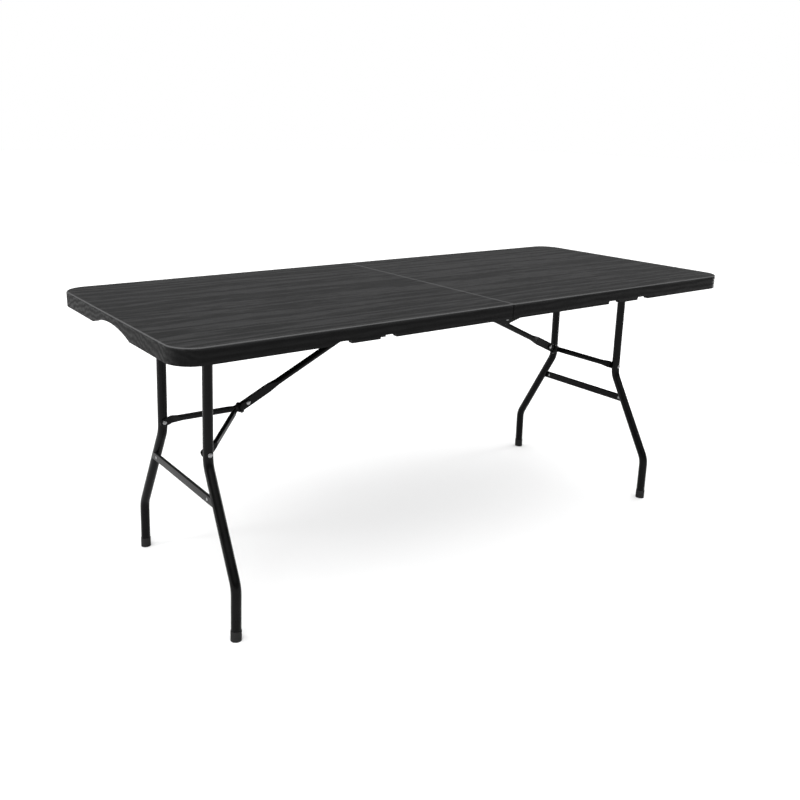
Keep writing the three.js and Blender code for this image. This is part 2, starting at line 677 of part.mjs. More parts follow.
// A bar along +X from x = start to x = end whose section changes: at each x, profile gives the
// half width across Y, the half height across Z and the centre's Y.
function shapedBar(stations, sides, profile) {
  const start = stations[0];
  const end = stations[stations.length - 1];
  const bar = new THREE.CylinderGeometry(1, 1, 1, sides, stations.length - 1).rotateZ(-Math.PI / 2);
  const position = bar.attributes.position;
  for (let index = 0; index < position.count; index += 1) {
    const share = position.getX(index) + 0.5;
    const station = stations[Math.round(share * (stations.length - 1))];
    const { width, height, centre } = profile(Math.min(Math.max(station, start), end));
    position.setXYZ(index, station, position.getY(index) * width + centre, position.getZ(index) * height);
  }
  return bar;
}

// Yoke arm: flat foot against the leg, round in the middle, flat at the apex.
function yokeArm(ySign) {
  const { yoke } = LINKAGE;
  const footEnd = YOKE_FOOT_LENGTH;
  const apexStart = yoke - YOKE_APEX_LENGTH;
  const slope = Math.atan((YOKE_FOOT_Y - YOKE_APEX_Y) / (apexStart - footEnd));
  const footTip = -YOKE_FOOT_TIP;
  const apexTip = yoke + YOKE_APEX_TIP;
  const stations = [footTip, footTip + YOKE_TIP_ROUND, 0, footEnd, footEnd + YOKE_TAPER / 2,
    footEnd + YOKE_TAPER, apexStart - YOKE_TAPER, apexStart - YOKE_TAPER / 2, apexStart, yoke,
    apexTip - YOKE_TIP_ROUND, apexTip];
  return shapedBar(stations, 12, (x) => {
    const footRound = ramp(x, footEnd, footEnd + YOKE_TAPER);
    const round = Math.min(footRound, ramp(x, apexStart, apexStart - YOKE_TAPER));
    const flatHalf = x < yoke / 2 ? YOKE_FOOT_HALF : YOKE_APEX_HALF;
    const fromTip = Math.min(x - footTip, apexTip - x);
    const tip = mix(YOKE_TIP_SHARE, 1, ramp(fromTip, 0, YOKE_TIP_ROUND));
    return {
      width: mix(YOKE_PLATE / 2, YOKE_RADIUS / Math.cos(slope), round),
      height: mix(flatHalf, YOKE_RADIUS, round) * tip,
      centre: ySign * mix(YOKE_FOOT_Y, YOKE_APEX_Y, ramp(x, footEnd, apexStart)),
    };
  });
}

// Brace: flat plate at the knuckle with a short tail past it, round tube above, eye on the pin.
function braceBody() {
  const { brace } = LINKAGE;
  const plateEnd = BRACE_PLATE_LENGTH;
  const tubeStart = plateEnd + BRACE_TAPER;
  const stations = [-BRACE_TAIL, -BRACE_TAIL + BRACE_TAIL_CHAMFER, 0, plateEnd, plateEnd + BRACE_TAPER / 3,
    plateEnd + (BRACE_TAPER * 2) / 3, tubeStart, brace - 4];
  const bar = shapedBar(stations, 12, (x) => {
    const round = ramp(x, plateEnd, tubeStart);
    const tip = 1 - (1 - ramp(x, -BRACE_TAIL, -BRACE_TAIL + BRACE_TAIL_CHAMFER)) * 0.4;
    return {
      width: mix(BRACE_PLATE / 2, BRACE_RADIUS, round),
      height: mix(BRACE_PLATE_HALF, BRACE_RADIUS, round) * tip,
      centre: 0,
    };
  });
  // The tube runs a little above the eye's centre, so the bar is turned about the knuckle.
  bar.rotateY(-Math.asin(BRACE_EYE_OFFSET / brace));
  return cut(
    join(solid(bar), barAlongY(BRACE_EYE_RADIUS, brace, 0, -BRACE_EYE_WIDTH / 2, BRACE_EYE_WIDTH / 2, 24)),
    barAlongY(BRACKET_PIN_RADIUS + RUNNING_GAP, brace, 0, -BRACE_EYE_WIDTH, BRACE_EYE_WIDTH, 16),
    barAlongY(RIVET_RADIUS + RUNNING_GAP, 0, 0, -BRACE_PLATE, BRACE_PLATE, 12),
  );
}

// Oval lock ring, round the brace's tail and the yoke's flat ends.
function lockRing() {
  const ringOutline = (halfHeight, halfWidth) => {
    const section = new THREE.Shape();
    section.absarc(0, halfHeight - halfWidth, halfWidth, 0, Math.PI, false);
    section.absarc(0, -halfHeight + halfWidth, halfWidth, Math.PI, Math.PI * 2, false);
    return section;
  };
  const section = ringOutline(RING_HALF_HEIGHT + RING_WALL, RING_HALF_WIDTH + RING_WALL);
  section.holes.push(ringOutline(RING_HALF_HEIGHT, RING_HALF_WIDTH));
  return new THREE.ExtrudeGeometry(section, { depth: RING_LENGTH, bevelEnabled: false, curveSegments: 8 })
    .rotateZ(Math.PI / 2)
    .rotateY(Math.PI / 2)
    .translate(-RING_REST - RING_LENGTH / 2, 0, 0);
}

function addLinkage(group, half) {
  const { down, knuckle, yoke, yokeAngle, braceAngle } = LINKAGE;
  const yokeFrame = new THREE.Group();
  yokeFrame.position.set(down.x, 0, down.y);
  yokeFrame.rotation.y = -yokeAngle;
  group.add(yokeFrame);
  for (const ySign of [-1, 1]) {
    const edge = edgeName(half, ySign);
    const inner = YOKE_FOOT_Y - YOKE_PLATE / 2 - TOUCH_GAP;
    const outer = YOKE_FOOT_Y + YOKE_PLATE / 2 - 0.2;
    const arm = cut(
      solid(yokeArm(ySign)),
      barAlongY(RIVET_RADIUS + RUNNING_GAP, 0, 0, ySign * YOKE_FOOT_Y - 8, ySign * YOKE_FOOT_Y + 8, 12),
      barAlongY(RIVET_RADIUS + RUNNING_GAP, yoke, 0, ySign * YOKE_APEX_Y - 4, ySign * YOKE_APEX_Y + 4, 12),
    );
    piece(yokeFrame, `yoke_arm_${half.side}_${edge}`, arm, 'frame');
    const heads = ySign > 0 ? [RIVET_HEAD_HEIGHT, 0] : [0, RIVET_HEAD_HEIGHT];
    const start = ySign > 0 ? inner - RIVET_HEAD_HEIGHT : -outer;
    const rivet = headedPin(0, 0, start, outer - inner, RIVET_RADIUS, RIVET_HEAD_RADIUS, heads);
    piece(yokeFrame, `yoke_rivet_${half.side}_${edge}`, rivet, 'zinc');
  }
  const grip = YOKE_APEX_Y + YOKE_PLATE / 2 + TOUCH_GAP;
  const knuckleStart = -grip - RIVET_HEAD_HEIGHT;
  const knuckleRivet = headedPin(yoke, 0, knuckleStart, grip * 2, RIVET_RADIUS, RIVET_HEAD_RADIUS,
    [RIVET_HEAD_HEIGHT, RIVET_HEAD_HEIGHT]);
  piece(yokeFrame, `knuckle_rivet_${half.side}`, knuckleRivet, 'zinc');

  const braceFrame = new THREE.Group();
  braceFrame.position.set(knuckle.x, 0, knuckle.y);
  braceFrame.rotation.y = -braceAngle;
  group.add(braceFrame);
  piece(braceFrame, `brace_${half.side}`, braceBody(), 'frame');
  piece(braceFrame, `lock_ring_${half.side}`, lockRing(), 'frame');
}

// ---- Carry handle ---------------------------------------------------------------------------

// A bail handle under the front edge of the left half, drawn tucked in under the panel.
function addHandle() {
  const low = HINGE_HEIGHT - HANDLE_THICKNESS / 2;
  const high = HINGE_HEIGHT + HANDLE_THICKNESS / 2;
  const gripY = HANDLE_PIVOT_Y + HANDLE_REACH;
  const arms = HANDLE_ARM_XS.map((x) => block(
    [-x - HANDLE_ARM_WIDTH / 2, HANDLE_PIVOT_Y - HANDLE_THICKNESS / 2, low],
    [-x + HANDLE_ARM_WIDTH / 2, gripY, high],
  ));
  const outward = [1, -1];
  const stubs = HANDLE_ARM_XS.map((x, index) => {
    const root = -x + outward[index] * (HANDLE_ARM_WIDTH / 2 - 1);
    const tip = root + outward[index] * (HANDLE_STUB_LENGTH + 1);
    const span = [root, tip].sort((a, b) => a - b);
    return barAlongX(HANDLE_STUB_RADIUS, HANDLE_PIVOT_Y, HINGE_HEIGHT, ...span, 12);
  });
  const gripHalf = HANDLE_SPAN / 2 + HANDLE_ARM_WIDTH / 2;
  const gripSpan = [-HANDLE_CENTRE - gripHalf, -HANDLE_CENTRE + gripHalf];
  const grip = barAlongX(GRIP_RADIUS, gripY, HINGE_HEIGHT, ...gripSpan, 16);
  piece(table, 'carry_handle', join(solid(grip), ...arms, ...stubs), 'handle');

  HANDLE_ARM_XS.forEach((x, index) => {
    const near = -x + outward[index] * (HANDLE_ARM_WIDTH / 2 + RUNNING_GAP);
    const far = near + outward[index] * CLIP_WIDTH;
    const clip = cut(
      solid(block(
        [Math.min(near, far), HANDLE_PIVOT_Y - CLIP_DEPTH / 2, HINGE_HEIGHT - CLIP_DROP],
        [Math.max(near, far), HANDLE_PIVOT_Y + CLIP_DEPTH / 2, PANEL_BOTTOM - TOUCH_GAP],
      )),
      barAlongX(HANDLE_STUB_RADIUS + RUNNING_GAP, HANDLE_PIVOT_Y, HINGE_HEIGHT,
        Math.min(near, far) - 1, Math.max(near, far) + 1, 12),
    );
    piece(table, `handle_clip_${index === 0 ? 'inner' : 'outer'}`, clip, 'handle');
  });
}

// ---- Assembly -------------------------------------------------------------------------------

for (const half of SIDES) {
  const group = new THREE.Group();
  group.rotation.z = half.turn;
  table.add(group);
  addTop(group, half);
  addRails(group, half);
  addBraceBracket(group, half);
  addLegSet(group, half);
  addLinkage(group, half);
}
addHingePins();
addHandle();

// Pivot points and turns of the moving pieces, for the left half; the right half mirrors them.
table.userData.motion = {
  hingeHeight: HINGE_HEIGHT,
  legPivot: [-PIVOT_REACH, PIVOT_HEIGHT],
  legFold: LINKAGE.foldAngle,
  knuckle: LINKAGE.knuckle.toArray(),
  braceAnchor: LINKAGE.anchor.toArray(),
  braceAngle: LINKAGE.braceAngle,
  braceTurn: LINKAGE.braceTurn,
  yokeTurn: LINKAGE.yokeTurn,
  ringTravel: RING_TRAVEL,
  handlePivot: [HANDLE_PIVOT_Y, HINGE_HEIGHT],
};

export default table;
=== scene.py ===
"""Long bifold table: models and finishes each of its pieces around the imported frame."""

import math

import bmesh
import bpy
from bpy.props import (
    FloatProperty,
    FloatVectorProperty,
    IntProperty,
    PointerProperty,
)
from mathutils import Matrix, Vector


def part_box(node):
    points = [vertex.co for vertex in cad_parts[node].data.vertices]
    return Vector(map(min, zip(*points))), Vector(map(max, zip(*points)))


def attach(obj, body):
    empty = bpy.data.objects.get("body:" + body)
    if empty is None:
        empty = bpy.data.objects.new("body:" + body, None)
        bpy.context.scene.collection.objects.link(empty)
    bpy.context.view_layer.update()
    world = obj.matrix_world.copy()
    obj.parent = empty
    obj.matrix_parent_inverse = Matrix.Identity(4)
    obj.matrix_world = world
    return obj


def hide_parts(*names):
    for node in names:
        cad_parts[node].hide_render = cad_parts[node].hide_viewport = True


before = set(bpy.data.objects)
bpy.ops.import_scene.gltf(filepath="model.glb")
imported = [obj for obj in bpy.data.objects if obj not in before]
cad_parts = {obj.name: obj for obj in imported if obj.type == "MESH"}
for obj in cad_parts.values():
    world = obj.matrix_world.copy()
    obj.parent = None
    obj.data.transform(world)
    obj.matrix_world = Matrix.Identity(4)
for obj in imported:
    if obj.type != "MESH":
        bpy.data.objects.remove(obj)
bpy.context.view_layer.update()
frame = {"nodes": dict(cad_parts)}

bl_info = {
    "name": "Bifold Table",
    "version": (1, 0, 0),
    "blender": (4, 5, 0),
    "location": "View3D > Sidebar > Bifold Table",
    "description": "Moulds, bends and finishes the pieces of a long bifold table",
    "category": "Add Mesh",
}

SIDES = ("left", "right")
EDGES = ("front", "back")
OUTWARD = {"left": -1, "right": 1}
ACROSS = {"front": -1, "back": 1}
ALONG_X = Vector((1, 0, 0))
ALONG_Y = Vector((0, 1, 0))
ALONG_Z = Vector((0, 0, 1))


# ---- Sizes and colours ----------------------------------------------------------------------


class TopSizes(bpy.types.PropertyGroup):
    """Sizes of the moulded halves."""

    corner_radius: FloatProperty(
        name="Corner Radius", description="Radius of the outer corners seen from above",
        default=0.062, min=0.02, unit="LENGTH")
    rim_radius: FloatProperty(
        name="Rim Radius", description="Rounding of the outer upper edge",
        default=0.0045, min=0.001, unit="LENGTH")
    seam_radius: FloatProperty(
        name="Seam Radius", description="Rounding of the upper edge along the seam",
        default=0.0014, min=0.0005, unit="LENGTH")
    skirt_wall: FloatProperty(
        name="Skirt Wall", description="Thickness of the skirt",
        default=0.014, min=0.004, unit="LENGTH")
    seam_wall: FloatProperty(
        name="Seam Wall", description="Thickness of the wall along the seam",
        default=0.008, min=0.004, unit="LENGTH")
    panel: FloatProperty(
        name="Panel", description="Thickness of the panel above the recess",
        default=0.010, min=0.006, unit="LENGTH")
    scallop_width: FloatProperty(
        name="Scallop Width", description="Width of the finger scallop in the end skirt",
        default=0.236, min=0.05, unit="LENGTH")
    scallop_height: FloatProperty(
        name="Scallop Height", description="Rise of the finger scallop",
        default=0.020, min=0.004, unit="LENGTH")
    notch_width: FloatProperty(
        name="Notch Width", description="Width of the handle notches in the front skirt",
        default=0.046, min=0.02, unit="LENGTH")
    notch_depth: FloatProperty(
        name="Notch Depth", description="Rise of the handle notches",
        default=0.0077, min=0.002, unit="LENGTH")
    channel_half: FloatProperty(
        name="Channel Half Width", description="Half width of the folded brace's channel",
        default=0.014, min=0.01, unit="LENGTH")
    channel_reach: FloatProperty(
        name="Channel Reach", description="How far the channel runs from the seam",
        default=0.665, min=0.3, unit="LENGTH")
    dimple_pitch: FloatProperty(
        name="Dimple Pitch", description="Distance between the moulded dimples of the underside",
        default=0.044, min=0.02, unit="LENGTH")
    dimple_depth: FloatProperty(
        name="Dimple Depth", description="Depth of one moulded dimple",
        default=0.0045, min=0.001, max=0.008, unit="LENGTH")


class LegSizes(bpy.types.PropertyGroup):
    """Sizes of the bent legs."""

    radius: FloatProperty(
        name="Tube Radius", description="Outer radius of the leg tube",
        default=0.0125, min=0.006, unit="LENGTH")
    upper_bend: FloatProperty(
        name="Upper Bend", description="Distance from the pivot down to the upper bend",
        default=0.325, min=0.1, unit="LENGTH")
    lower_bend: FloatProperty(
        name="Lower Bend", description="Distance from the floor up to the lower bend",
        default=0.134, min=0.05, unit="LENGTH")
    tangent: FloatProperty(
        name="Bend Length", description="Length of a bend each way from its corner",
        default=0.018, min=0.005, unit="LENGTH")
    bend_steps: IntProperty(
        name="Bend Steps", description="Steps round one bend", default=10, min=3)
    sides: IntProperty(
        name="Sides", description="Sides of the tube's section", default=32, min=12)
    cap_height: FloatProperty(
        name="Cap Height", description="Height of a foot cap",
        default=0.026, min=0.01, unit="LENGTH")
    cap_wall: FloatProperty(
        name="Cap Wall", description="Wall of a foot cap with its clearance",
        default=0.0009, min=0.0006, unit="LENGTH")


class BraceSizes(bpy.types.PropertyGroup):
    """Sizes of the yokes, braces and lock rings."""

    yoke_radius: FloatProperty(
        name="Yoke Radius", description="Radius of a yoke arm's tube",
        default=0.0085, min=0.004, unit="LENGTH")
    yoke_plate: FloatProperty(
        name="Yoke Plate", description="Thickness of a yoke arm's flattened ends",
        default=0.0026, min=0.001, unit="LENGTH")
    brace_radius: FloatProperty(
        name="Brace Radius", description="Radius of the brace's tube",
        default=0.009, min=0.004, unit="LENGTH")
    brace_plate: FloatProperty(
        name="Brace Plate", description="Thickness of the brace's flattened end",
        default=0.005, min=0.002, unit="LENGTH")
    plate_half: FloatProperty(
        name="Plate Half Width", description="Half width of the brace's flattened end",
        default=0.013, min=0.006, unit="LENGTH")
    ring_wall: FloatProperty(
        name="Ring Wall", description="Wall of the lock ring",
        default=0.002, min=0.001, unit="LENGTH")


class Finishes(bpy.types.PropertyGroup):
    """Colours of the table."""

    top: FloatVectorProperty(
        name="Top", description="Colour of the moulded top", subtype="COLOR",
        default=(0.0056, 0.0056, 0.0058), min=0, max=1)
    top_worn: FloatVectorProperty(
        name="Top Grain", description="Colour of the raised grain on the top", subtype="COLOR",
        default=(0.0158, 0.0158, 0.0162), min=0, max=1)
    # Colour of the painted highlight laid on the top's rim and on the seam's upper edges.
    painted_rim_highlight: FloatVectorProperty(
        name="Painted Rim Highlight", description="Colour of the top's painted rim highlight", subtype="COLOR",
        default=(0.075, 0.075, 0.076), min=0, max=1)
    frame: FloatVectorProperty(
        name="Frame", description="Colour of the coated steel", subtype="COLOR",
        default=(0.0018, 0.0018, 0.0019), min=0, max=1)
    zinc: FloatVectorProperty(
        name="Zinc", description="Colour of the plated rivets and screws", subtype="COLOR",
        default=(0.28, 0.28, 0.285), min=0, max=1)
    rubber: FloatVectorProperty(
        name="Rubber", description="Colour of the foot caps", subtype="COLOR",
        default=(0.009, 0.009, 0.009), min=0, max=1)
    floor: FloatVectorProperty(
        name="Floor", description="Colour of the floor", subtype="COLOR",
        default=(0.93, 0.93, 0.93), min=0, max=1)


# ---- Finishes -------------------------------------------------------------------------------


def feed(owner, value, socket):
    """Links a source to a socket, or sets the socket to a constant."""
    if isinstance(value, bpy.types.NodeSocket):
        owner.node_tree.links.new(value, socket)
    else:
        socket.default_value = value


def add_node(owner, kind, **settings):
    """Adds a shader node. A setting names a socket, or else a property of the node."""
    node = owner.node_tree.nodes.new(kind)
    for name, value in settings.items():
        socket = name.replace("_", " ")
        if socket in node.inputs:
            feed(owner, value, node.inputs[socket])
        else:
            setattr(node, name, value)
    return node


def start_material(name):
    """A new material, its principled shader and its object coordinates."""
    material = bpy.data.materials.new(name)
    material.use_nodes = True
    material.node_tree.nodes.clear()
    shader = add_node(material, "ShaderNodeBsdfPrincipled")
    add_node(material, "ShaderNodeOutputMaterial", Surface=shader.outputs["BSDF"])
    return material, shader, add_node(material, "ShaderNodeTexCoord").outputs["Object"]


def stretched(owner, place, scale):
    return add_node(owner, "ShaderNodeMapping", Vector=place, Scale=scale).outputs["Vector"]


def noise(owner, place, **settings):
    return add_node(owner, "ShaderNodeTexNoise", Vector=place, **settings).outputs["Fac"]


def colour_ramp(owner, source, stops):
    """A ramp through (place, colour) stops."""
    ramp = add_node(owner, "ShaderNodeValToRGB", Fac=source)
    elements = ramp.color_ramp.elements
    for element, (place, colour) in zip(elements, (stops[0], stops[-1])):
        element.position = place
        element.color = (*colour, 1)
    for place, colour in stops[1:-1]:
        elements.new(place).color = (*colour, 1)
    return ramp.outputs["Color"]


def map_range(owner, source, start, end, low=0.0, high=1.0, kind="LINEAR"):
    """Maps the range start to end of a source onto low to high."""
    return add_node(
        owner, "ShaderNodeMapRange", interpolation_type=kind, Value=source, From_Min=start,
        From_Max=end, To_Min=low, To_Max=high).outputs["Result"]


def mix_values(owner, share, first, second):
    node = add_node(owner, "ShaderNodeMix", data_type="FLOAT", Factor=share)
    feed(owner, first, node.inputs[2])
    feed(owner, second, node.inputs[3])
    return node.outputs[0]


def work_out(owner, operation, *sources):
    """The result of a sum on one or two sources."""
    node = add_node(owner, "ShaderNodeMath", operation=operation)
    for source, socket in zip(sources, node.inputs):
        feed(owner, source, socket)
    return node.outputs["Value"]


def shaded(colour, share):
    return tuple(channel * share for channel in colour)


def grey(value):
    return (value, value, value)


def finish_shader(material, shader, colour, roughness, height, strength, distance):
    """Feeds a shader its colour, roughness and bump."""
    bump = add_node(
        material, "ShaderNodeBump", Height=height, Strength=strength, Distance=distance)
    feed(material, colour, shader.inputs["Base Color"])
    feed(material, roughness, shader.inputs["Roughness"])
    feed(material, bump.outputs["Normal"], shader.inputs["Normal"])
    return material


def moulded_plastic(name, finishes):
    """Black moulded plastic with an embossed wood grain that runs along the table."""
    material, shader, place = start_material(name)
    shader.inputs["Specular IOR Level"].default_value = 0.08
    axes = add_node(material, "ShaderNodeSeparateXYZ", Vector=place)
    height = axes.outputs["Z"]
    from_seam = work_out(material, "ABSOLUTE", axes.outputs["X"])
    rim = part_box("top_left")[1].z

    along_grain = stretched(material, place, (5.0, 62.0, 62.0))
    streaks = noise(
        material, along_grain, Scale=3.4, Detail=8.0, Roughness=0.66, Distortion=0.25)
    pores = noise(material, along_grain, Scale=14.0, Detail=4.0, Roughness=0.7)
    figure = add_node(
        material, "ShaderNodeTexWave", wave_type="RINGS", rings_direction="X",
        Vector=stretched(material, place, (0.9, 9.0, 9.0)),
        Scale=2.6, Distortion=7.5, Detail=3.0, Detail_Scale=1.1, Detail_Roughness=0.55)
    grain = mix_values(material, 0.2, streaks, figure.outputs["Fac"])
    raised = colour_ramp(
        material, grain, [(0.38, grey(0.0)), (0.5, grey(0.42)), (0.62, grey(1.0))])
    tint = colour_ramp(material, raised, [(0.0, finishes.top), (1.0, finishes.top_worn)])

    # Painted shade: the skirt is coloured darker than the top because its upright faces get less
    # light, and a painted shadow makes it darkest in the gap where the halves meet.
    skirt = map_range(material, height, rim - 0.007, rim - 0.003, 0.28)
    # Painted shadow in the narrow gap between the halves.
    seam_gap_shade = map_range(material, from_seam, 0.0022, 0.0036, 0.04)
    shade = add_node(
        material, "ShaderNodeVectorMath", operation="SCALE", Vector=tint,
        Scale=work_out(material, "MULTIPLY", skirt, seam_gap_shade))

    # Painted highlight: a lighter colour is laid on the rounding of the rim and on the seam's
    # upper edges.
    highlight_band = map_range(material, height, rim - 0.0032, rim - 0.0012, kind="SMOOTHSTEP")
    below_top = map_range(material, height, rim - 0.0004, rim - 0.0001, 1.0, 0.0)
    seam = map_range(material, from_seam, 0.0026, 0.0044, 0.75, 0.0)
    highlight_line = work_out(
        material, "MAXIMUM", work_out(material, "MULTIPLY", highlight_band, below_top),
        work_out(material, "MULTIPLY", seam, highlight_band))
    # Mixes the painted highlight colour over the shaded tint.
    highlighted_tint = add_node(material, "ShaderNodeMix", data_type="RGBA", Factor=highlight_line)
    feed(material, shade.outputs["Vector"], highlighted_tint.inputs[6])
    feed(material, (*finishes.painted_rim_highlight, 1), highlighted_tint.inputs[7])

    return finish_shader(
        material, shader, highlighted_tint.outputs[2], map_range(material, raised, 0.0, 1.0, 0.6, 0.42),
        mix_values(material, 0.25, raised, pores),
        map_range(material, height, rim - 0.007, rim - 0.003, 0.1, 0.42), 0.0009)


def coated_steel(name, finishes):
    """Glossy black powder coat with a fine orange peel and slightly dusty patches."""
    material, shader, place = start_material(name)
    shader.inputs["Specular IOR Level"].default_value = 0.08
    patches = noise(material, place, Scale=22.0, Detail=5.0, Roughness=0.6)
    peel = noise(material, place, Scale=420.0, Detail=2.0)
    tint = colour_ramp(
        material, patches, [(0.35, finishes.frame), (0.75, shaded(finishes.frame, 1.9))])
    gloss = map_range(material, patches, 0.3, 0.7, 0.17, 0.28)
    return finish_shader(material, shader, tint, gloss, peel, 0.12, 0.0002)


def plated_zinc(name, finishes):
    """Bright zinc plating, a little mottled."""
    material, shader, place = start_material(name)
    shader.inputs["Metallic"].default_value = 1.0
    mottle = noise(material, place, Scale=310.0, Detail=4.0, Roughness=0.6)
    tint = colour_ramp(
        material, mottle, [(0.35, shaded(finishes.zinc, 0.72)), (0.65, finishes.zinc)])
    gloss = map_range(material, mottle, 0.0, 1.0, 0.24, 0.44)
    return finish_shader(material, shader, tint, gloss, mottle, 0.15, 0.0001)


def matt_rubber(name, finishes, roughness=0.78):
    """Matt black rubber or soft plastic with a fine speckle."""
    material, shader, place = start_material(name)
    shader.inputs["Specular IOR Level"].default_value = 0.2
    speckle = noise(material, place, Scale=260.0, Detail=5.0, Roughness=0.7)
    tint = colour_ramp(
        material, speckle, [(0.35, finishes.rubber), (0.75, shaded(finishes.rubber, 2.1))])
    gloss = map_range(material, speckle, 0.0, 1.0, roughness - 0.12, roughness + 0.12)
    return finish_shader(material, shader, tint, gloss, speckle, 0.3, 0.0002)


def studio_floor(name, finishes):
    """Pale matt floor with a barely seen unevenness."""
    material, shader, place = start_material(name)
    shader.inputs["Specular IOR Level"].default_value = 0.0
    shader.inputs["Roughness"].default_value = 0.9
    cloud = noise(material, place, Scale=0.8, Detail=2.0)
    tint = colour_ramp(
        material, cloud, [(0.3, shaded(finishes.floor, 0.985)), (0.7, finishes.floor)])
    feed(material, tint, shader.inputs["Base Color"])
    return material


FINISH_MAKERS = {
    "top_plastic": moulded_plastic,
    "frame_steel": coated_steel,
    "zinc_steel": plated_zinc,
    "foot_rubber": matt_rubber,
    "handle_plastic": lambda name, finishes: matt_rubber(name, finishes, 0.5),
}


def finish_for(slot):
    """The finish of a material slot, made once."""
    name = f"{slot}_finish"
    material = bpy.data.materials.get(name)
    return material or FINISH_MAKERS[slot](name, bpy.context.scene.table_finishes)


# ---- Shaping --------------------------------------------------------------------------------


def middle(node):
    """The middle of a node's box."""
    low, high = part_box(node)
    return (low + high) / 2


def new_verts(result, key="geom"):
    return [item for item in result[key] if isinstance(item, bmesh.types.BMVert)]


def new_edges(result, key="geom"):
    """The new edges that lie wholly among the new vertices."""
    verts = set(new_verts(result, key))
    edges = [item for item in result[key] if isinstance(item, bmesh.types.BMEdge)]
    return [edge for edge in edges if set(edge.verts) <= verts]


def faces_in(result):
    return [item for item in result["geom"] if isinstance(item, bmesh.types.BMFace)]


def add_block(mesh, low, high):
    """A rectangular block between two corners."""
    low, high = Vector(low), Vector(high)
    place = Matrix.LocRotScale((low + high) / 2, None, high - low)
    return bmesh.ops.create_cube(mesh, size=1, matrix=place)["verts"]


def edges_of(verts):
    return list({edge for vert in verts for edge in vert.link_edges})


def bevel_edges(mesh, edges, width, segments):
    """Rounds some of a mesh's edges."""
    bmesh.ops.bevel(
        mesh, geom=edges, offset=width, offset_type="OFFSET", segments=segments, profile=0.5,
        affect="EDGES", material=-1)


def turn(mesh, profile, centre, along, steps=32, closed=False):
    """Turns a profile of (radius, distance along the axis) points into a round body."""
    centre, along = Vector(centre), Vector(along)
    out = along.orthogonal().normalized()
    verts = [mesh.verts.new(centre + out * radius + along * place) for radius, place in profile]
    ends = verts[1:] + verts[:1] if closed else verts[1:]
    edges = [mesh.edges.new(pair) for pair in zip(verts, ends)]
    bmesh.ops.spin(
        mesh, geom=verts + edges, cent=centre, axis=along, angle=math.tau, steps=steps,
        use_merge=True)
    bmesh.ops.remove_doubles(mesh, verts=mesh.verts, dist=1e-6)


def loft(mesh, sides, stations):
    """Lofts rings along X. A station is (x, y, half width, half height, flatness 0 to 1)."""
    rings = []
    for x, y, width, height, flatness in stations:
        verts = bmesh.ops.create_circle(mesh, radius=1, segments=sides)["verts"]
        bmesh.ops.rotate(mesh, verts=verts, matrix=Matrix.Rotation(math.pi / 2, 3, "Y"))
        bmesh.ops.scale(mesh, verts=verts, vec=(1, width * (1 + flatness), height))
        for vert in verts:
            vert.co.y = max(-width, min(width, vert.co.y))
        bmesh.ops.translate(mesh, verts=verts, vec=(x, y, 0))
        rings.append(edges_of(verts))
    for ring, following in zip(rings, rings[1:]):
        bmesh.ops.bridge_loops(mesh, edges=ring + following)
    for ring in (rings[0], rings[-1]):
        bmesh.ops.contextual_create(mesh, geom=ring)


def mirror_to(mesh, side):
    """Pieces are shaped for the left half, and the right half's are their mirror image."""
    if side == "right":
        bmesh.ops.scale(mesh, verts=mesh.verts, vec=(-1, 1, 1))


def round_edges(piece, width, segments=2, angle=35):
    """Rounds a piece's sharp edges."""
    bevel = piece.modifiers.new("Rounded edges", "BEVEL")
    bevel.width = width
    bevel.segments = segments
    bevel.limit_method = "ANGLE"
    bevel.angle_limit = math.radians(angle)
    bevel.use_clamp_overlap = True
    bevel.harden_normals = True


def hand_over(mesh, name, body, slot, nodes, sharp=32):
    """Makes a piece of a mesh, which rides on a body and stands for its nodes."""
    bmesh.ops.recalc_face_normals(mesh, faces=mesh.faces)
    for face in mesh.faces:
        face.smooth = True
    for edge in mesh.edges:
        edge.smooth = edge.calc_face_angle(0) < math.radians(sharp)
    data = bpy.data.meshes.new(name)
    mesh.to_mesh(data)
    mesh.free()
    data.materials.append(finish_for(slot))
    piece = bpy.data.objects.new(name, data)
    bpy.context.scene.collection.objects.link(piece)
    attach(piece, body)
    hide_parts(*nodes)
    return piece


def dress(node, name, body, slot, width, segments=2):
    """A copy of a node's own shape, merged, with its edges rounded."""
    mesh = bmesh.new()
    mesh.from_mesh(frame["nodes"][node].data)
    bmesh.ops.remove_doubles(mesh, verts=mesh.verts, dist=1e-6)
    bmesh.ops.dissolve_limit(
        mesh, angle_limit=math.radians(1), verts=mesh.verts, edges=mesh.edges)
    piece = hand_over(mesh, name, body, slot, [node])
    round_edges(piece, width, segments)
    return piece


# ---- Moulded top ----------------------------------------------------------------------------


def cut_across(mesh, faces, normal, places):
    """Cuts faces along planes square to an axis, and returns all the faces that result."""
    for place in places:
        faces = [face for face in faces if face.is_valid]
        edges = {edge for face in faces for edge in face.edges}
        verts = {vert for face in faces for vert in face.verts}
        result = bmesh.ops.bisect_plane(
            mesh, geom=[*verts, *edges, *faces], dist=1e-6, plane_co=normal * place,
            plane_no=normal)
        faces = faces_in(result)
    return [face for face in faces if face.is_valid]


def raise_faces(mesh, faces, height):
    """Pushes a patch of faces up and returns the pushed faces."""
    result = bmesh.ops.extrude_face_region(mesh, geom=faces)
    bmesh.ops.translate(mesh, verts=new_verts(result), vec=(0, 0, height))
    kept = [face for face in faces if face.is_valid]
    bmesh.ops.delete(mesh, geom=kept, context="FACES")
    return [face for face in faces_in(result) if face.is_valid]


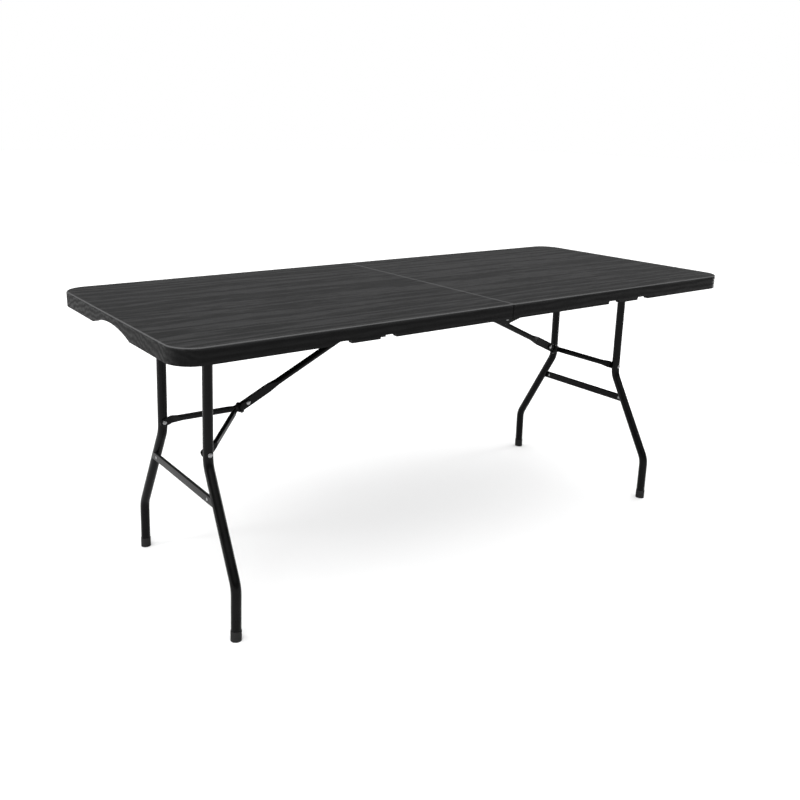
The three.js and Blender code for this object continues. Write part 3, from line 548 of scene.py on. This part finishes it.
def mould_blank(mesh, low, high, sizes):
    """The outside of the left half: rounded corners, rounded rim and a tight seam edge."""
    add_block(mesh, low, high)

    def upright(edge):
        ends = [vert.co for vert in edge.verts]
        return all(abs(end.x - low.x) < 1e-5 for end in ends) and abs(ends[0].z - ends[1].z) > 1e-3

    corners = [edge for edge in mesh.edges if upright(edge)]
    bevel_edges(mesh, corners, sizes.corner_radius, 16)

    def on_top(edge):
        return all(abs(vert.co.z - high.z) < 1e-5 for vert in edge.verts)

    def on_seam(edge):
        return all(abs(vert.co.x - high.x) < 1e-5 for vert in edge.verts)

    rim = [edge for edge in mesh.edges if on_top(edge) and not on_seam(edge)]
    bevel_edges(mesh, rim, sizes.rim_radius, 5)
    seam = [edge for edge in mesh.edges if on_top(edge) and on_seam(edge)]
    bevel_edges(mesh, seam, sizes.seam_radius, 3)


def scallop_places(sizes):
    half = sizes.scallop_width / 2
    count = 12
    return [half * math.sin(math.pi / 2 * step / count) for step in range(-count, count + 1)]


def lift_edges(mesh, low, sizes, ramp, notch_xs, pocket):
    """Lifts the skirt's lower edge into the scallop, the handle notches and the ear pockets."""
    half = sizes.scallop_width / 2
    radius = (half**2 + sizes.scallop_height**2) / (2 * sizes.scallop_height)
    in_notch = sizes.notch_width / 2 - ramp / 2
    inset = ramp / 20
    edge_depth, pocket_rise = 0.02, 0.0278
    for vert in mesh.verts:
        x, y, z = vert.co
        if abs(z - low.z) > 1e-4:
            continue
        if x < low.x + edge_depth and abs(y) < half:
            vert.co.z = low.z + sizes.scallop_height - radius + math.sqrt(radius**2 - y**2)
        if y < low.y + edge_depth and any(abs(x - place) < in_notch for place in notch_xs):
            vert.co.z = low.z + sizes.notch_depth
        if x > -edge_depth and pocket[0] + inset < abs(y) < pocket[1] - inset:
            vert.co.z = low.z + pocket_rise


def press_dimples(mesh, faces, sizes):
    """Presses a grid of shallow round-bottomed dimples into the recess ceiling."""
    pitch = sizes.dimple_pitch
    seam_margin, channel_margin = 0.064, 0.026
    past_channel, depth = 0.17, 0.30
    columns = int((sizes.channel_reach + past_channel) / pitch)
    column_xs = [-seam_margin - pitch * step for step in range(columns + 1)]
    faces = cut_across(mesh, faces, ALONG_X, column_xs)
    rows = [channel_margin + pitch * step for step in range(int(depth / pitch) + 1)]
    faces = cut_across(mesh, faces, ALONG_Y, rows + [-row for row in rows])
    cells = [
        face for face in faces
        if abs(face.calc_area() - pitch**2) < pitch**2 * 0.02
        and abs(face.calc_center_median().y) > rows[0]
    ]
    for inset, sink in ((0.17, 0.0), (0.09, 0.75), (0.09, 0.25)):
        bmesh.ops.inset_individual(
            mesh, faces=cells, thickness=pitch * inset, depth=-sizes.dimple_depth * sink)


class MouldTop(bpy.types.Operator):
    """Moulds the two halves of the top"""

    bl_idname = "bifold_table.mould_top"
    bl_label = "Mould Top"

    def execute(self, context):
        sizes = context.scene.table_top
        ramp, clip_reach, rail_gap, groove_rise = 0.002, 0.0144, 0.001, 0.005
        low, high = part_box("top_left")
        notch_half = sizes.notch_width / 2
        notch_xs = [
            middle("handle_clip_inner").x - clip_reach, middle("handle_clip_outer").x + clip_reach]
        pocket = (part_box("rail_right_back")[0].y + rail_gap, high.y - sizes.skirt_wall)
        for side in SIDES:
            mesh = bmesh.new()
            mould_blank(mesh, low, high, sizes)
            notch_cuts = [
                place + sign * reach
                for place in notch_xs
                for sign in (-1, 1)
                for reach in (notch_half, notch_half - ramp)
            ]
            cut_across(mesh, mesh.faces[:], ALONG_X, notch_cuts)
            pocket_cuts = [
                sign * place
                for sign in (-1, 1)
                for place in (pocket[0], pocket[0] + ramp / 8, pocket[1] - ramp / 8)
            ]
            cut_across(mesh, mesh.faces[:], ALONG_Y, scallop_places(sizes) + pocket_cuts)
            floor = [face for face in mesh.faces if face.normal.z < -0.9]
            bmesh.ops.inset_region(
                mesh, faces=floor, thickness=sizes.skirt_wall, use_boundary=True,
                use_even_offset=True)
            for vert in {vert for face in floor for vert in face.verts}:
                if vert.co.x > high.x - sizes.skirt_wall - 1e-4:
                    vert.co.x = high.x - sizes.seam_wall
            ceiling = raise_faces(mesh, floor, high.z - low.z - sizes.panel)
            ceiling = cut_across(mesh, ceiling, ALONG_Y, [-sizes.channel_half, sizes.channel_half])
            ceiling = cut_across(mesh, ceiling, ALONG_X, [-sizes.channel_reach])
            groove = [
                face for face in ceiling
                if abs(face.calc_center_median().y) < sizes.channel_half
                and face.calc_center_median().x > -sizes.channel_reach
            ]
            ceiling = [face for face in ceiling if face not in set(groove)]
            raise_faces(mesh, groove, groove_rise)
            press_dimples(mesh, ceiling, sizes)
            lift_edges(mesh, low, sizes, ramp, notch_xs, pocket)
            mirror_to(mesh, side)
            name = f"moulded_top_{side}"
            piece = hand_over(mesh, name, f"half_{side}", "top_plastic", [f"top_{side}"])
            round_edges(piece, 0.0008, 2, 50)
        return {"FINISHED"}


# ---- Rails and hinge ------------------------------------------------------------------------


class FitRails(bpy.types.Operator):
    """Fits the side rails, with their rolled edges and hinge ears, and the brace brackets"""

    bl_idname = "bifold_table.fit_rails"
    bl_label = "Fit Rails"

    def execute(self, context):
        for side in SIDES:
            body = f"half_{side}"
            for edge in EDGES:
                node = f"rail_{side}_{edge}"
                dress(node, f"side_rail_{side}_{edge}", body, "frame_steel", 0.0006)
            node = f"brace_bracket_{side}"
            dress(node, f"seam_bracket_{side}", body, "frame_steel", 0.0005)
        return {"FINISHED"}


class DriveScrews(bpy.types.Operator):
    """Drives the hex washer screws that hold the rails"""

    bl_idname = "bifold_table.drive_screws"
    bl_label = "Drive Screws"

    def execute(self, context):
        head_height = 0.0021
        for side in SIDES:
            for edge in EDGES:
                mesh = bmesh.new()
                nodes = [f"rail_screw_{side}_{edge}_{number}" for number in (1, 2, 3)]
                for node in nodes:
                    low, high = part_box(node)
                    seat = Vector(((low.x + high.x) / 2, (low.y + high.y) / 2, low.z))
                    washer = [
                        (0, 0.0017), (0.0041, 0.0017), (0.0045, 0.002), (0.0045, 0.0025),
                        (0.002, 0.0025), (0.002, high.z - low.z - 0.002), (0, high.z - low.z)]
                    turn(mesh, washer, seat, ALONG_Z, 20)
                    head = bmesh.ops.create_cone(
                        mesh, cap_ends=True, segments=6, radius1=0.0028, radius2=0.0031,
                        depth=head_height,
                        matrix=Matrix.Translation(seat + ALONG_Z * head_height / 2))
                    lower = [
                        edge for edge in edges_of(head["verts"])
                        if all(vert.co.z < seat.z + 1e-4 for vert in edge.verts)
                    ]
                    bevel_edges(mesh, lower, 0.0004, 2)
                hand_over(mesh, f"rail_screws_{side}_{edge}", f"half_{side}", "zinc_steel", nodes)
        return {"FINISHED"}


def rivet_profile(length, head, shank, height, heads):
    """Half outline of a rivet: domed where it has a head, plain where it hasn't."""
    dome = [(0.0, 0.0), (0.45, 0.12), (0.75, 0.36), (0.93, 0.68), (1.0, 1.0)]
    profile = []
    if heads[0]:
        profile += [(head * out, height * rise) for out, rise in dome] + [(shank, height)]
    else:
        profile += [(0.0, 0.0), (shank * 0.8, 0.0), (shank, shank * 0.2)]
    if heads[1]:
        profile += [(shank, length - height)]
        profile += [(head * out, length - height * rise) for out, rise in reversed(dome)]
    else:
        profile += [(shank, length - shank * 0.2), (shank * 0.8, length), (0.0, length)]
    return profile


def set_rivet(node, name, body, axis, shank, height, heads, sink=0.0):
    """Sets one rivet where its node lies, sunk a little at both ends."""
    low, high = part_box(node)
    length = (high - low).dot(axis) - sink * 2
    head = (high.z - low.z) / 2
    start = (low + high) / 2 - axis * length / 2
    mesh = bmesh.new()
    turn(mesh, rivet_profile(length, head, shank, height, heads), start, axis, 28)
    return hand_over(mesh, name, body, "zinc_steel", [node])


class SetRivets(bpy.types.Operator):
    """Sets the rivets of the legs, yokes and stretchers, and the centre hinge's pins"""

    bl_idname = "bifold_table.set_rivets"
    bl_label = "Set Rivets"

    def execute(self, context):
        for edge in EDGES:
            set_rivet(
                f"hinge_pin_{edge}", f"centre_hinge_pin_{edge}", "hinge_pins", ALONG_Y,
                0.0038, 0.0025, (True, True))
        for side in SIDES:
            for edge in EDGES:
                inner_first = edge == "back"
                set_rivet(
                    f"leg_rivet_{side}_{edge}", f"leg_stud_{side}_{edge}", f"leg_set_{side}",
                    ALONG_Y, 0.003, 0.002, (not inner_first, inner_first))
                set_rivet(
                    f"yoke_rivet_{side}_{edge}", f"yoke_stud_{side}_{edge}", f"yoke_{side}",
                    ALONG_Y, 0.003, 0.002, (inner_first, not inner_first))
                set_rivet(
                    f"stretcher_rivet_{side}_{edge}", f"stretcher_stud_{side}_{edge}",
                    f"leg_set_{side}", ALONG_X, 0.002, 0.0008, (True, True), 0.0004)
            set_rivet(
                f"knuckle_rivet_{side}", f"knuckle_stud_{side}", f"yoke_{side}", ALONG_Y,
                0.003, 0.002, (True, True))
        return {"FINISHED"}


# ---- Leg sets -------------------------------------------------------------------------------


def leg_frame():
    """Where the left leg set's own frame lies: origin at its pivot, down the splayed legs."""
    pivot = middle("pivot_tube_left")
    pivot.y = 0
    foot = middle("foot_cap_left_front")
    splay = math.atan2(pivot.x - foot.x, pivot.z - foot.z)
    length = pivot.z / math.cos(splay)
    return Matrix.Translation(pivot) @ Matrix.Rotation(splay, 4, "Y"), length


def sweep(mesh, ring, offset):
    """Draws a ring of edges out in a straight run and returns the new ring."""
    result = bmesh.ops.extrude_edge_only(mesh, edges=ring)
    bmesh.ops.translate(mesh, verts=new_verts(result), vec=offset)
    return new_edges(result)


def sweep_bend(mesh, ring, centre, angle, steps):
    """Draws a ring of edges round a bend about X and returns the new ring."""
    verts = list({vert for edge in ring for vert in edge.verts})
    result = bmesh.ops.spin(
        mesh, geom=verts + ring, cent=centre, axis=ALONG_X, angle=angle, steps=steps)
    return new_edges(result, "geom_last")


def bend_leg(mesh, sizes, length, top_y, foot_y):
    """One leg in the leg set's frame: straight, splayed outwards, then straight to the foot."""
    lower_drop = length - sizes.lower_bend
    slope = math.atan2(foot_y - top_y, lower_drop - sizes.upper_bend)
    radius = sizes.tangent / math.tan(slope / 2)
    middle_run = (lower_drop - sizes.upper_bend) / math.cos(slope) - sizes.tangent * 2
    circle = bmesh.ops.create_circle(mesh, radius=sizes.radius, segments=sizes.sides)["verts"]
    bmesh.ops.translate(mesh, verts=circle, vec=(0, top_y, 0))
    top_ring = edges_of(circle)
    first_run = sizes.upper_bend - sizes.tangent
    ring = sweep(mesh, top_ring, (0, 0, -first_run))
    ring = sweep_bend(mesh, ring, (0, top_y + radius, -first_run), slope, sizes.bend_steps)
    ring = sweep(
        mesh, ring, (0, math.sin(slope) * middle_run, -math.cos(slope) * middle_run))
    start = sum((vert.co for edge in ring for vert in edge.verts), Vector()) / (2 * len(ring))
    centre = start + Vector((0, -math.cos(slope), -math.sin(slope))) * radius
    ring = sweep_bend(mesh, ring, centre, -slope, sizes.bend_steps)
    last_run = sizes.lower_bend - sizes.tangent - 0.0053
    ring = sweep(mesh, ring, (0, 0, -last_run))
    for end in (top_ring, ring):
        bmesh.ops.contextual_create(mesh, geom=end)


class BendLegs(bpy.types.Operator):
    """Bends the four legs and draws their pivot tubes"""

    bl_idname = "bifold_table.bend_legs"
    bl_label = "Bend Legs"

    def execute(self, context):
        sizes = context.scene.table_legs
        place, length = leg_frame()
        foot_y = middle("foot_cap_left_back").y
        top_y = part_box("leg_left_back")[0].y + sizes.radius
        for side in SIDES:
            for edge in EDGES:
                mesh = bmesh.new()
                bend_leg(mesh, sizes, length, top_y, foot_y)
                bmesh.ops.scale(mesh, verts=mesh.verts, vec=(1, ACROSS[edge], 1))
                bmesh.ops.transform(mesh, matrix=place, verts=mesh.verts)
                mirror_to(mesh, side)
                name = f"bent_leg_{side}_{edge}"
                hand_over(mesh, name, f"leg_set_{side}", "frame_steel", [f"leg_{side}_{edge}"], 50)
            low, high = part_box(f"pivot_tube_{side}")
            outer = (high.z - low.z) / 2
            run = high.y - low.y
            lip = 0.0003
            profile = [
                (outer - 0.0012, 0.0), (outer - lip, 0.0), (outer, lip), (outer, run - lip),
                (outer - lip, run), (outer - 0.0012, run)]
            mesh = bmesh.new()
            start = Vector(((low.x + high.x) / 2, low.y, (low.z + high.z) / 2))
            turn(mesh, profile, start, ALONG_Y, 32, closed=True)
            name = f"pivot_shaft_{side}"
            hand_over(mesh, name, f"leg_set_{side}", "frame_steel", [f"pivot_tube_{side}"])
        return {"FINISHED"}


class CapFeet(bpy.types.Operator):
    """Turns the rubber foot caps and trims them flat on the floor"""

    bl_idname = "bifold_table.cap_feet"
    bl_label = "Cap Feet"

    def execute(self, context):
        sizes = context.scene.table_legs
        place, length = leg_frame()
        bore = sizes.radius + 0.0003
        outer = sizes.radius + sizes.cap_wall
        height = sizes.cap_height
        groove = 0.0003
        profile = [(0.0, -0.004), (outer, -0.004)]
        for rise in (0.006, 0.009, 0.012, 0.015):
            profile += [
                (outer, rise), (outer - groove, rise + 0.0004),
                (outer - groove, rise + 0.001), (outer, rise + 0.0014)]
        profile += [
            (outer, height - 0.0006), (outer - 0.0003, height), (bore, height), (bore, 0.005),
            (0.0, 0.005)]
        for side in SIDES:
            for edge in EDGES:
                mesh = bmesh.new()
                foot_y = abs(middle("foot_cap_left_back").y) * ACROSS[edge]
                turn(mesh, profile, (0, foot_y, -length), ALONG_Z, 48)
                bmesh.ops.transform(mesh, matrix=place, verts=mesh.verts)
                geom = mesh.verts[:] + mesh.edges[:] + mesh.faces[:]
                result = bmesh.ops.bisect_plane(
                    mesh, geom=geom, dist=1e-6, plane_co=(0, 0, 0), plane_no=(0, 0, -1),
                    clear_outer=True)
                rim = [e for e in result["geom_cut"] if isinstance(e, bmesh.types.BMEdge)]
                bmesh.ops.contextual_create(mesh, geom=rim)
                mirror_to(mesh, side)
                name = f"rubber_foot_{side}_{edge}"
                nodes = [f"foot_cap_{side}_{edge}"]
                hand_over(mesh, name, f"leg_set_{side}", "foot_rubber", nodes)
        return {"FINISHED"}


class FitStretchers(bpy.types.Operator):
    """Fits the flat stretcher across each pair of legs"""

    bl_idname = "bifold_table.fit_stretchers"
    bl_label = "Fit Stretchers"

    def execute(self, context):
        for side in SIDES:
            dress(
                f"stretcher_{side}", f"cross_stretcher_{side}", f"leg_set_{side}", "frame_steel",
                0.0006)
        return {"FINISHED"}


# ---- Brace linkage --------------------------------------------------------------------------


def ease(value, start, end):
    """0 before start, 1 after end, and a smooth change between."""
    share = min(max((value - start) / (end - start), 0.0), 1.0)
    return share * share * (3 - 2 * share)


def blend(start, end, share):
    return start + (end - start) * share


def linkage_points():
    """The yoke's pivot on the legs, the knuckle, and the brace's pin, in the left half."""
    foot = middle("leg_rivet_left_front")
    knuckle = middle("knuckle_rivet_left")
    low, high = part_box("brace_bracket_left")
    pin = Vector((low.x + 0.020, 0, low.z + 0.009))
    foot.y = knuckle.y = 0
    return foot, knuckle, pin


def along_line(start, end):
    """A placement at start whose X axis points to end, with Y across the table."""
    run = end - start
    return Matrix.Translation(start) @ Matrix.Rotation(-math.atan2(run.z, run.x), 4, "Y")


def round_tip(distance, length):
    """Share of the full height at a distance from a rounded tip."""
    share = min(max(distance / length, 0.0), 1.0)
    return 0.34 + 0.66 * math.sqrt(1 - (1 - share) ** 2)


class FitYokes(bpy.types.Operator):
    """Draws the yoke arms, with flattened ends at the legs and at the knuckle"""

    bl_idname = "bifold_table.fit_yokes"
    bl_label = "Fit Yokes"

    def execute(self, context):
        sizes = context.scene.table_braces
        foot, knuckle, _ = linkage_points()
        run = (knuckle - foot).length
        plate = sizes.yoke_plate / 2
        foot_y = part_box("yoke_arm_left_back")[1].y - plate
        apex_y = sizes.brace_plate / 2 + 0.0003 + plate
        start, end = -0.012, run + 0.008
        flat_foot, flat_apex = 0.020, run - 0.036
        marks = [start + step for step in (0, 0.001, 0.0025, 0.005, 0.008, 0.011)] + [flat_foot]
        marks += [flat_foot + 0.0025 * step for step in range(1, 9)]
        marks += [flat_apex - 0.0025 * step for step in range(8, 0, -1)]
        marks += [flat_apex, end - 0.008, end - 0.005, end - 0.0025, end - 0.001, end]
        stations = []
        for mark in marks:
            roundness = min(
                ease(mark, flat_foot, flat_foot + 0.020),
                1 - ease(mark, flat_apex - 0.020, flat_apex))
            flat_half = 0.011 if mark < run / 2 else 0.008
            tip = min(round_tip(mark - start, 0.011), round_tip(end - mark, 0.008))
            share = min(max((mark - flat_foot) / (flat_apex - flat_foot), 0), 1)
            centre = blend(foot_y, apex_y, share)
            stations.append((
                mark, centre, blend(plate, sizes.yoke_radius, roundness),
                blend(flat_half, sizes.yoke_radius, roundness) * tip, 1 - roundness))
        for side in SIDES:
            for edge in EDGES:
                mesh = bmesh.new()
                loft(mesh, 28, stations)
                bmesh.ops.scale(mesh, verts=mesh.verts, vec=(1, ACROSS[edge], 1))
                bmesh.ops.transform(mesh, matrix=along_line(foot, knuckle), verts=mesh.verts)
                mirror_to(mesh, side)
                name = f"drawn_yoke_{side}_{edge}"
                nodes = [f"yoke_arm_{side}_{edge}"]
                hand_over(mesh, name, f"yoke_{side}", "frame_steel", nodes, 40)
        return {"FINISHED"}


class FitBraces(bpy.types.Operator):
    """Draws the braces, with a flattened knuckle end and an eye on the bracket's pin"""

    bl_idname = "bifold_table.fit_braces"
    bl_label = "Fit Braces"

    def execute(self, context):
        sizes = context.scene.table_braces
        _, knuckle, pin = linkage_points()
        run = (pin - knuckle).length
        start, plate_end = -0.034, 0.062
        tube_start = plate_end + 0.038
        marks = [start, start + 0.001, start + 0.003, start + 0.006, start + 0.010, 0.0, plate_end]
        marks += [plate_end + 0.038 * step / 10 for step in range(1, 11)]
        marks += [run - 0.008]
        stations = []
        for mark in marks:
            roundness = ease(mark, plate_end, tube_start)
            tip = round_tip(mark - start, 0.010)
            stations.append((
                mark, 0.0, blend(sizes.brace_plate / 2, sizes.brace_radius, roundness),
                blend(sizes.plate_half, sizes.brace_radius, roundness) * tip, 1 - roundness))
        eye = [
            (0.0055, -0.0116), (0.0059, -0.012), (0.0099, -0.012), (0.0105, -0.0114),
            (0.0105, 0.0114), (0.0099, 0.012), (0.0059, 0.012), (0.0055, 0.0116)]
        for side in SIDES:
            mesh = bmesh.new()
            loft(mesh, 28, stations)
            rise = Matrix.Rotation(-math.asin(0.0025 / run), 4, "Y")
            bmesh.ops.transform(mesh, matrix=rise, verts=mesh.verts)
            turn(mesh, eye, (run, 0, 0), ALONG_Y, 32, closed=True)
            bmesh.ops.transform(mesh, matrix=along_line(knuckle, pin), verts=mesh.verts)
            mirror_to(mesh, side)
            name = f"drawn_brace_{side}"
            hand_over(mesh, name, f"brace_{side}_link", "frame_steel", [f"brace_{side}"], 40)
        return {"FINISHED"}


class RollLockRings(bpy.types.Operator):
    """Rolls the oval lock rings that slide on the braces"""

    bl_idname = "bifold_table.roll_lock_rings"
    bl_label = "Roll Lock Rings"

    def execute(self, context):
        sizes = context.scene.table_braces
        _, knuckle, pin = linkage_points()
        half_width = sizes.brace_radius + 0.0004 + sizes.ring_wall
        half_height = sizes.plate_half + 0.0003 + sizes.ring_wall
        for side in SIDES:
            mesh = bmesh.new()
            verts = bmesh.ops.create_circle(mesh, radius=half_width, segments=40)["verts"]
            bmesh.ops.rotate(mesh, verts=verts, matrix=Matrix.Rotation(math.pi / 2, 3, "Y"))
            for vert in verts:
                vert.co.z += math.copysign(half_height - half_width, vert.co.z)
            bmesh.ops.translate(mesh, verts=verts, vec=(-0.0275, 0, 0))
            sweep(mesh, edges_of(verts), (0.007, 0, 0))
            bmesh.ops.recalc_face_normals(mesh, faces=mesh.faces)
            bmesh.ops.solidify(mesh, geom=mesh.faces[:], thickness=sizes.ring_wall)
            bmesh.ops.transform(mesh, matrix=along_line(knuckle, pin), verts=mesh.verts)
            mirror_to(mesh, side)
            name = f"rolled_ring_{side}"
            piece = hand_over(mesh, name, f"ring_{side}", "frame_steel", [f"lock_ring_{side}"])
            round_edges(piece, 0.0006, 3, 50)
        return {"FINISHED"}


# ---- Carry handle ---------------------------------------------------------------------------


class MouldHandle(bpy.types.Operator):
    """Moulds the ribbed carry handle and its two clips"""

    bl_idname = "bifold_table.mould_handle"
    bl_label = "Mould Handle"

    def execute(self, context):
        low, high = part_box("carry_handle")
        radius = (high.z - low.z) / 2
        height = (high.z + low.z) / 2
        grip_y = high.y - radius
        pivot_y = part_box("handle_clip_inner")[0].y + 0.010
        stub, arm_half, thickness = 0.011, 0.008, 0.005
        arms = (low.x + stub + arm_half, high.x - stub - arm_half)
        mesh = bmesh.new()
        for arm in arms:
            verts = add_block(
                mesh, (arm - arm_half, pivot_y - thickness, height - thickness),
                (arm + arm_half, grip_y, height + thickness))
            bevel_edges(mesh, edges_of(verts), 0.0024, 4)
        ends = (arms[0] - arm_half, arms[1] + arm_half)
        run = ends[1] - ends[0]
        valley, shoulder = radius * 0.86, 0.020
        tip = [(0.0, 0.0), (radius * 0.7, 0.0), (radius * 0.92, 0.0012), (radius, 0.004)]
        profile = [*tip, (radius, shoulder)]
        rib, first_rib = 0.0065, 0.023
        for step in range(int((run - first_rib * 2) / rib)):
            place = first_rib + step * rib
            profile += [
                (radius, place), (valley, place + 0.0012), (valley, place + 0.0028),
                (radius, place + 0.004)]
        profile += [(out, run - place) for out, place in reversed(tip)]
        turn(mesh, profile, (ends[0], grip_y, height), ALONG_X, 32)
        reach = stub + 0.001
        peg = [(0.0, 0.0), (0.003, 0.0), (0.003, reach - 0.0006), (0.0024, reach), (0.0, reach)]
        for place, outward in ((arms[0] - 0.007, -1), (arms[1] + 0.007, 1)):
            turn(mesh, peg, (place, pivot_y, height), ALONG_X * outward, 20)
        hand_over(mesh, "ribbed_handle", "handle", "handle_plastic", ["carry_handle"])
        for clip in ("inner", "outer"):
            name = f"pivot_clip_{clip}"
            dress(f"handle_clip_{clip}", name, "half_left", "handle_plastic", 0.0008, 3)
        return {"FINISHED"}


# ---- Stage ----------------------------------------------------------------------------------


def hang_softbox(name, place, aim, size, power):
    """Hangs one soft light."""
    light = bpy.data.lights.new(name, "AREA")
    light.shape = "RECTANGLE"
    light.size, light.size_y = size
    light.energy = power
    lamp = bpy.data.objects.new(name, light)
    lamp.location = place
    lamp.visible_camera = False
    lamp.rotation_euler = (Vector(aim) - Vector(place)).to_track_quat("-Z", "Y").to_euler()
    bpy.context.scene.collection.objects.link(lamp)


def light_dome(world):
    """Lights the studio from a soft dome that is bright overhead and dim near the floor."""
    sky = add_node(world, "ShaderNodeTexCoord")
    height = add_node(world, "ShaderNodeSeparateXYZ", Vector=sky.outputs["Generated"])
    dome = map_range(world, height.outputs["Z"], 0.25, 0.6, 0.13, 1.75, "SMOOTHSTEP")
    seen = add_node(world, "ShaderNodeLightPath")
    strength = mix_values(world, seen.outputs["Is Camera Ray"], dome, 1.0)
    background = world.node_tree.nodes["Background"]
    background.inputs["Color"].default_value = (1, 1, 1, 1)
    feed(world, strength, background.inputs["Strength"])


def stand_camera():
    """Stands the camera in front of the table's left end, looking along it."""
    camera = bpy.data.cameras.new("table_camera")
    camera.lens = 38.51
    camera.sensor_width = 36.0
    camera.shift_x = 0.05
    camera.shift_y = -0.0375
    stand = bpy.data.objects.new("table_camera", camera)
    bearing, tilt, roll = math.radians(35.403), math.radians(16.055), math.radians(1.203)
    level = Matrix.Rotation(-bearing, 4, "Z") @ Matrix.Rotation(math.pi / 2 - tilt, 4, "X")
    stand.matrix_world = (
        Matrix.Translation((-1.528, -1.862, 1.165)) @ level @ Matrix.Rotation(roll, 4, "Z"))
    bpy.context.scene.collection.objects.link(stand)
    bpy.context.scene.camera = stand


class SetStage(bpy.types.Operator):
    """Lays the pale floor, hangs the soft lights and stands the camera"""

    bl_idname = "bifold_table.set_stage"
    bl_label = "Set Stage"

    def execute(self, context):
        mesh = bmesh.new()
        bmesh.ops.create_grid(mesh, x_segments=4, y_segments=4, size=30)
        data = bpy.data.meshes.new("studio_floor")
        mesh.to_mesh(data)
        mesh.free()
        data.materials.append(studio_floor("studio_floor", context.scene.table_finishes))
        floor = bpy.data.objects.new("studio_floor", data)
        context.scene.collection.objects.link(floor)
        world = bpy.data.worlds.new("studio")
        world.use_nodes = True
        context.scene.world = world
        light_dome(world)
        hang_softbox("key_softbox", (-2.6, -2.2, 3.4), (-0.2, 0, 0.5), (2.2, 2.2), 60)
        hang_softbox("right_strip", (2.9, 0.1, 0.3), (-0.6, -0.1, 0.2), (0.5, 1.2), 26)
        hang_softbox("left_strip", (-3.4, 0.9, 0.9), (-0.7, 0, 0.3), (0.5, 1.8), 30)
        context.scene.view_settings.view_transform = "Standard"
        stand_camera()
        return {"FINISHED"}


# ---- Add-on ---------------------------------------------------------------------------------

STEPS = (
    SetStage, MouldTop, FitRails, DriveScrews, BendLegs, CapFeet, FitStretchers, FitYokes,
    FitBraces, RollLockRings, SetRivets, MouldHandle)
GROUPS = {
    "table_top": TopSizes, "table_legs": LegSizes, "table_braces": BraceSizes,
    "table_finishes": Finishes}


class TablePanel(bpy.types.Panel):
    """Lists the table's sizes and the steps that make its pieces"""

    bl_idname = "VIEW3D_PT_bifold_table"
    bl_label = "Bifold Table"
    bl_space_type = "VIEW_3D"
    bl_region_type = "UI"
    bl_category = "Bifold Table"

    def draw(self, context):
        column = self.layout.column(align=True)
        for step in STEPS:
            column.operator(step.bl_idname)
        for name, group in GROUPS.items():
            box = self.layout.box()
            for size in group.__annotations__:
                box.prop(getattr(context.scene, name), size)


def register():
    for cls in (*GROUPS.values(), *STEPS, TablePanel):
        bpy.utils.register_class(cls)
    for name, group in GROUPS.items():
        setattr(bpy.types.Scene, name, PointerProperty(type=group))


def unregister():
    for name in GROUPS:
        delattr(bpy.types.Scene, name)
    for cls in reversed((*GROUPS.values(), *STEPS, TablePanel)):
        bpy.utils.unregister_class(cls)


def main():
    register()
    for step in STEPS:
        area, name = step.bl_idname.split(".")
        getattr(getattr(bpy.ops, area), name)()


if __name__ == "__main__":
    main()
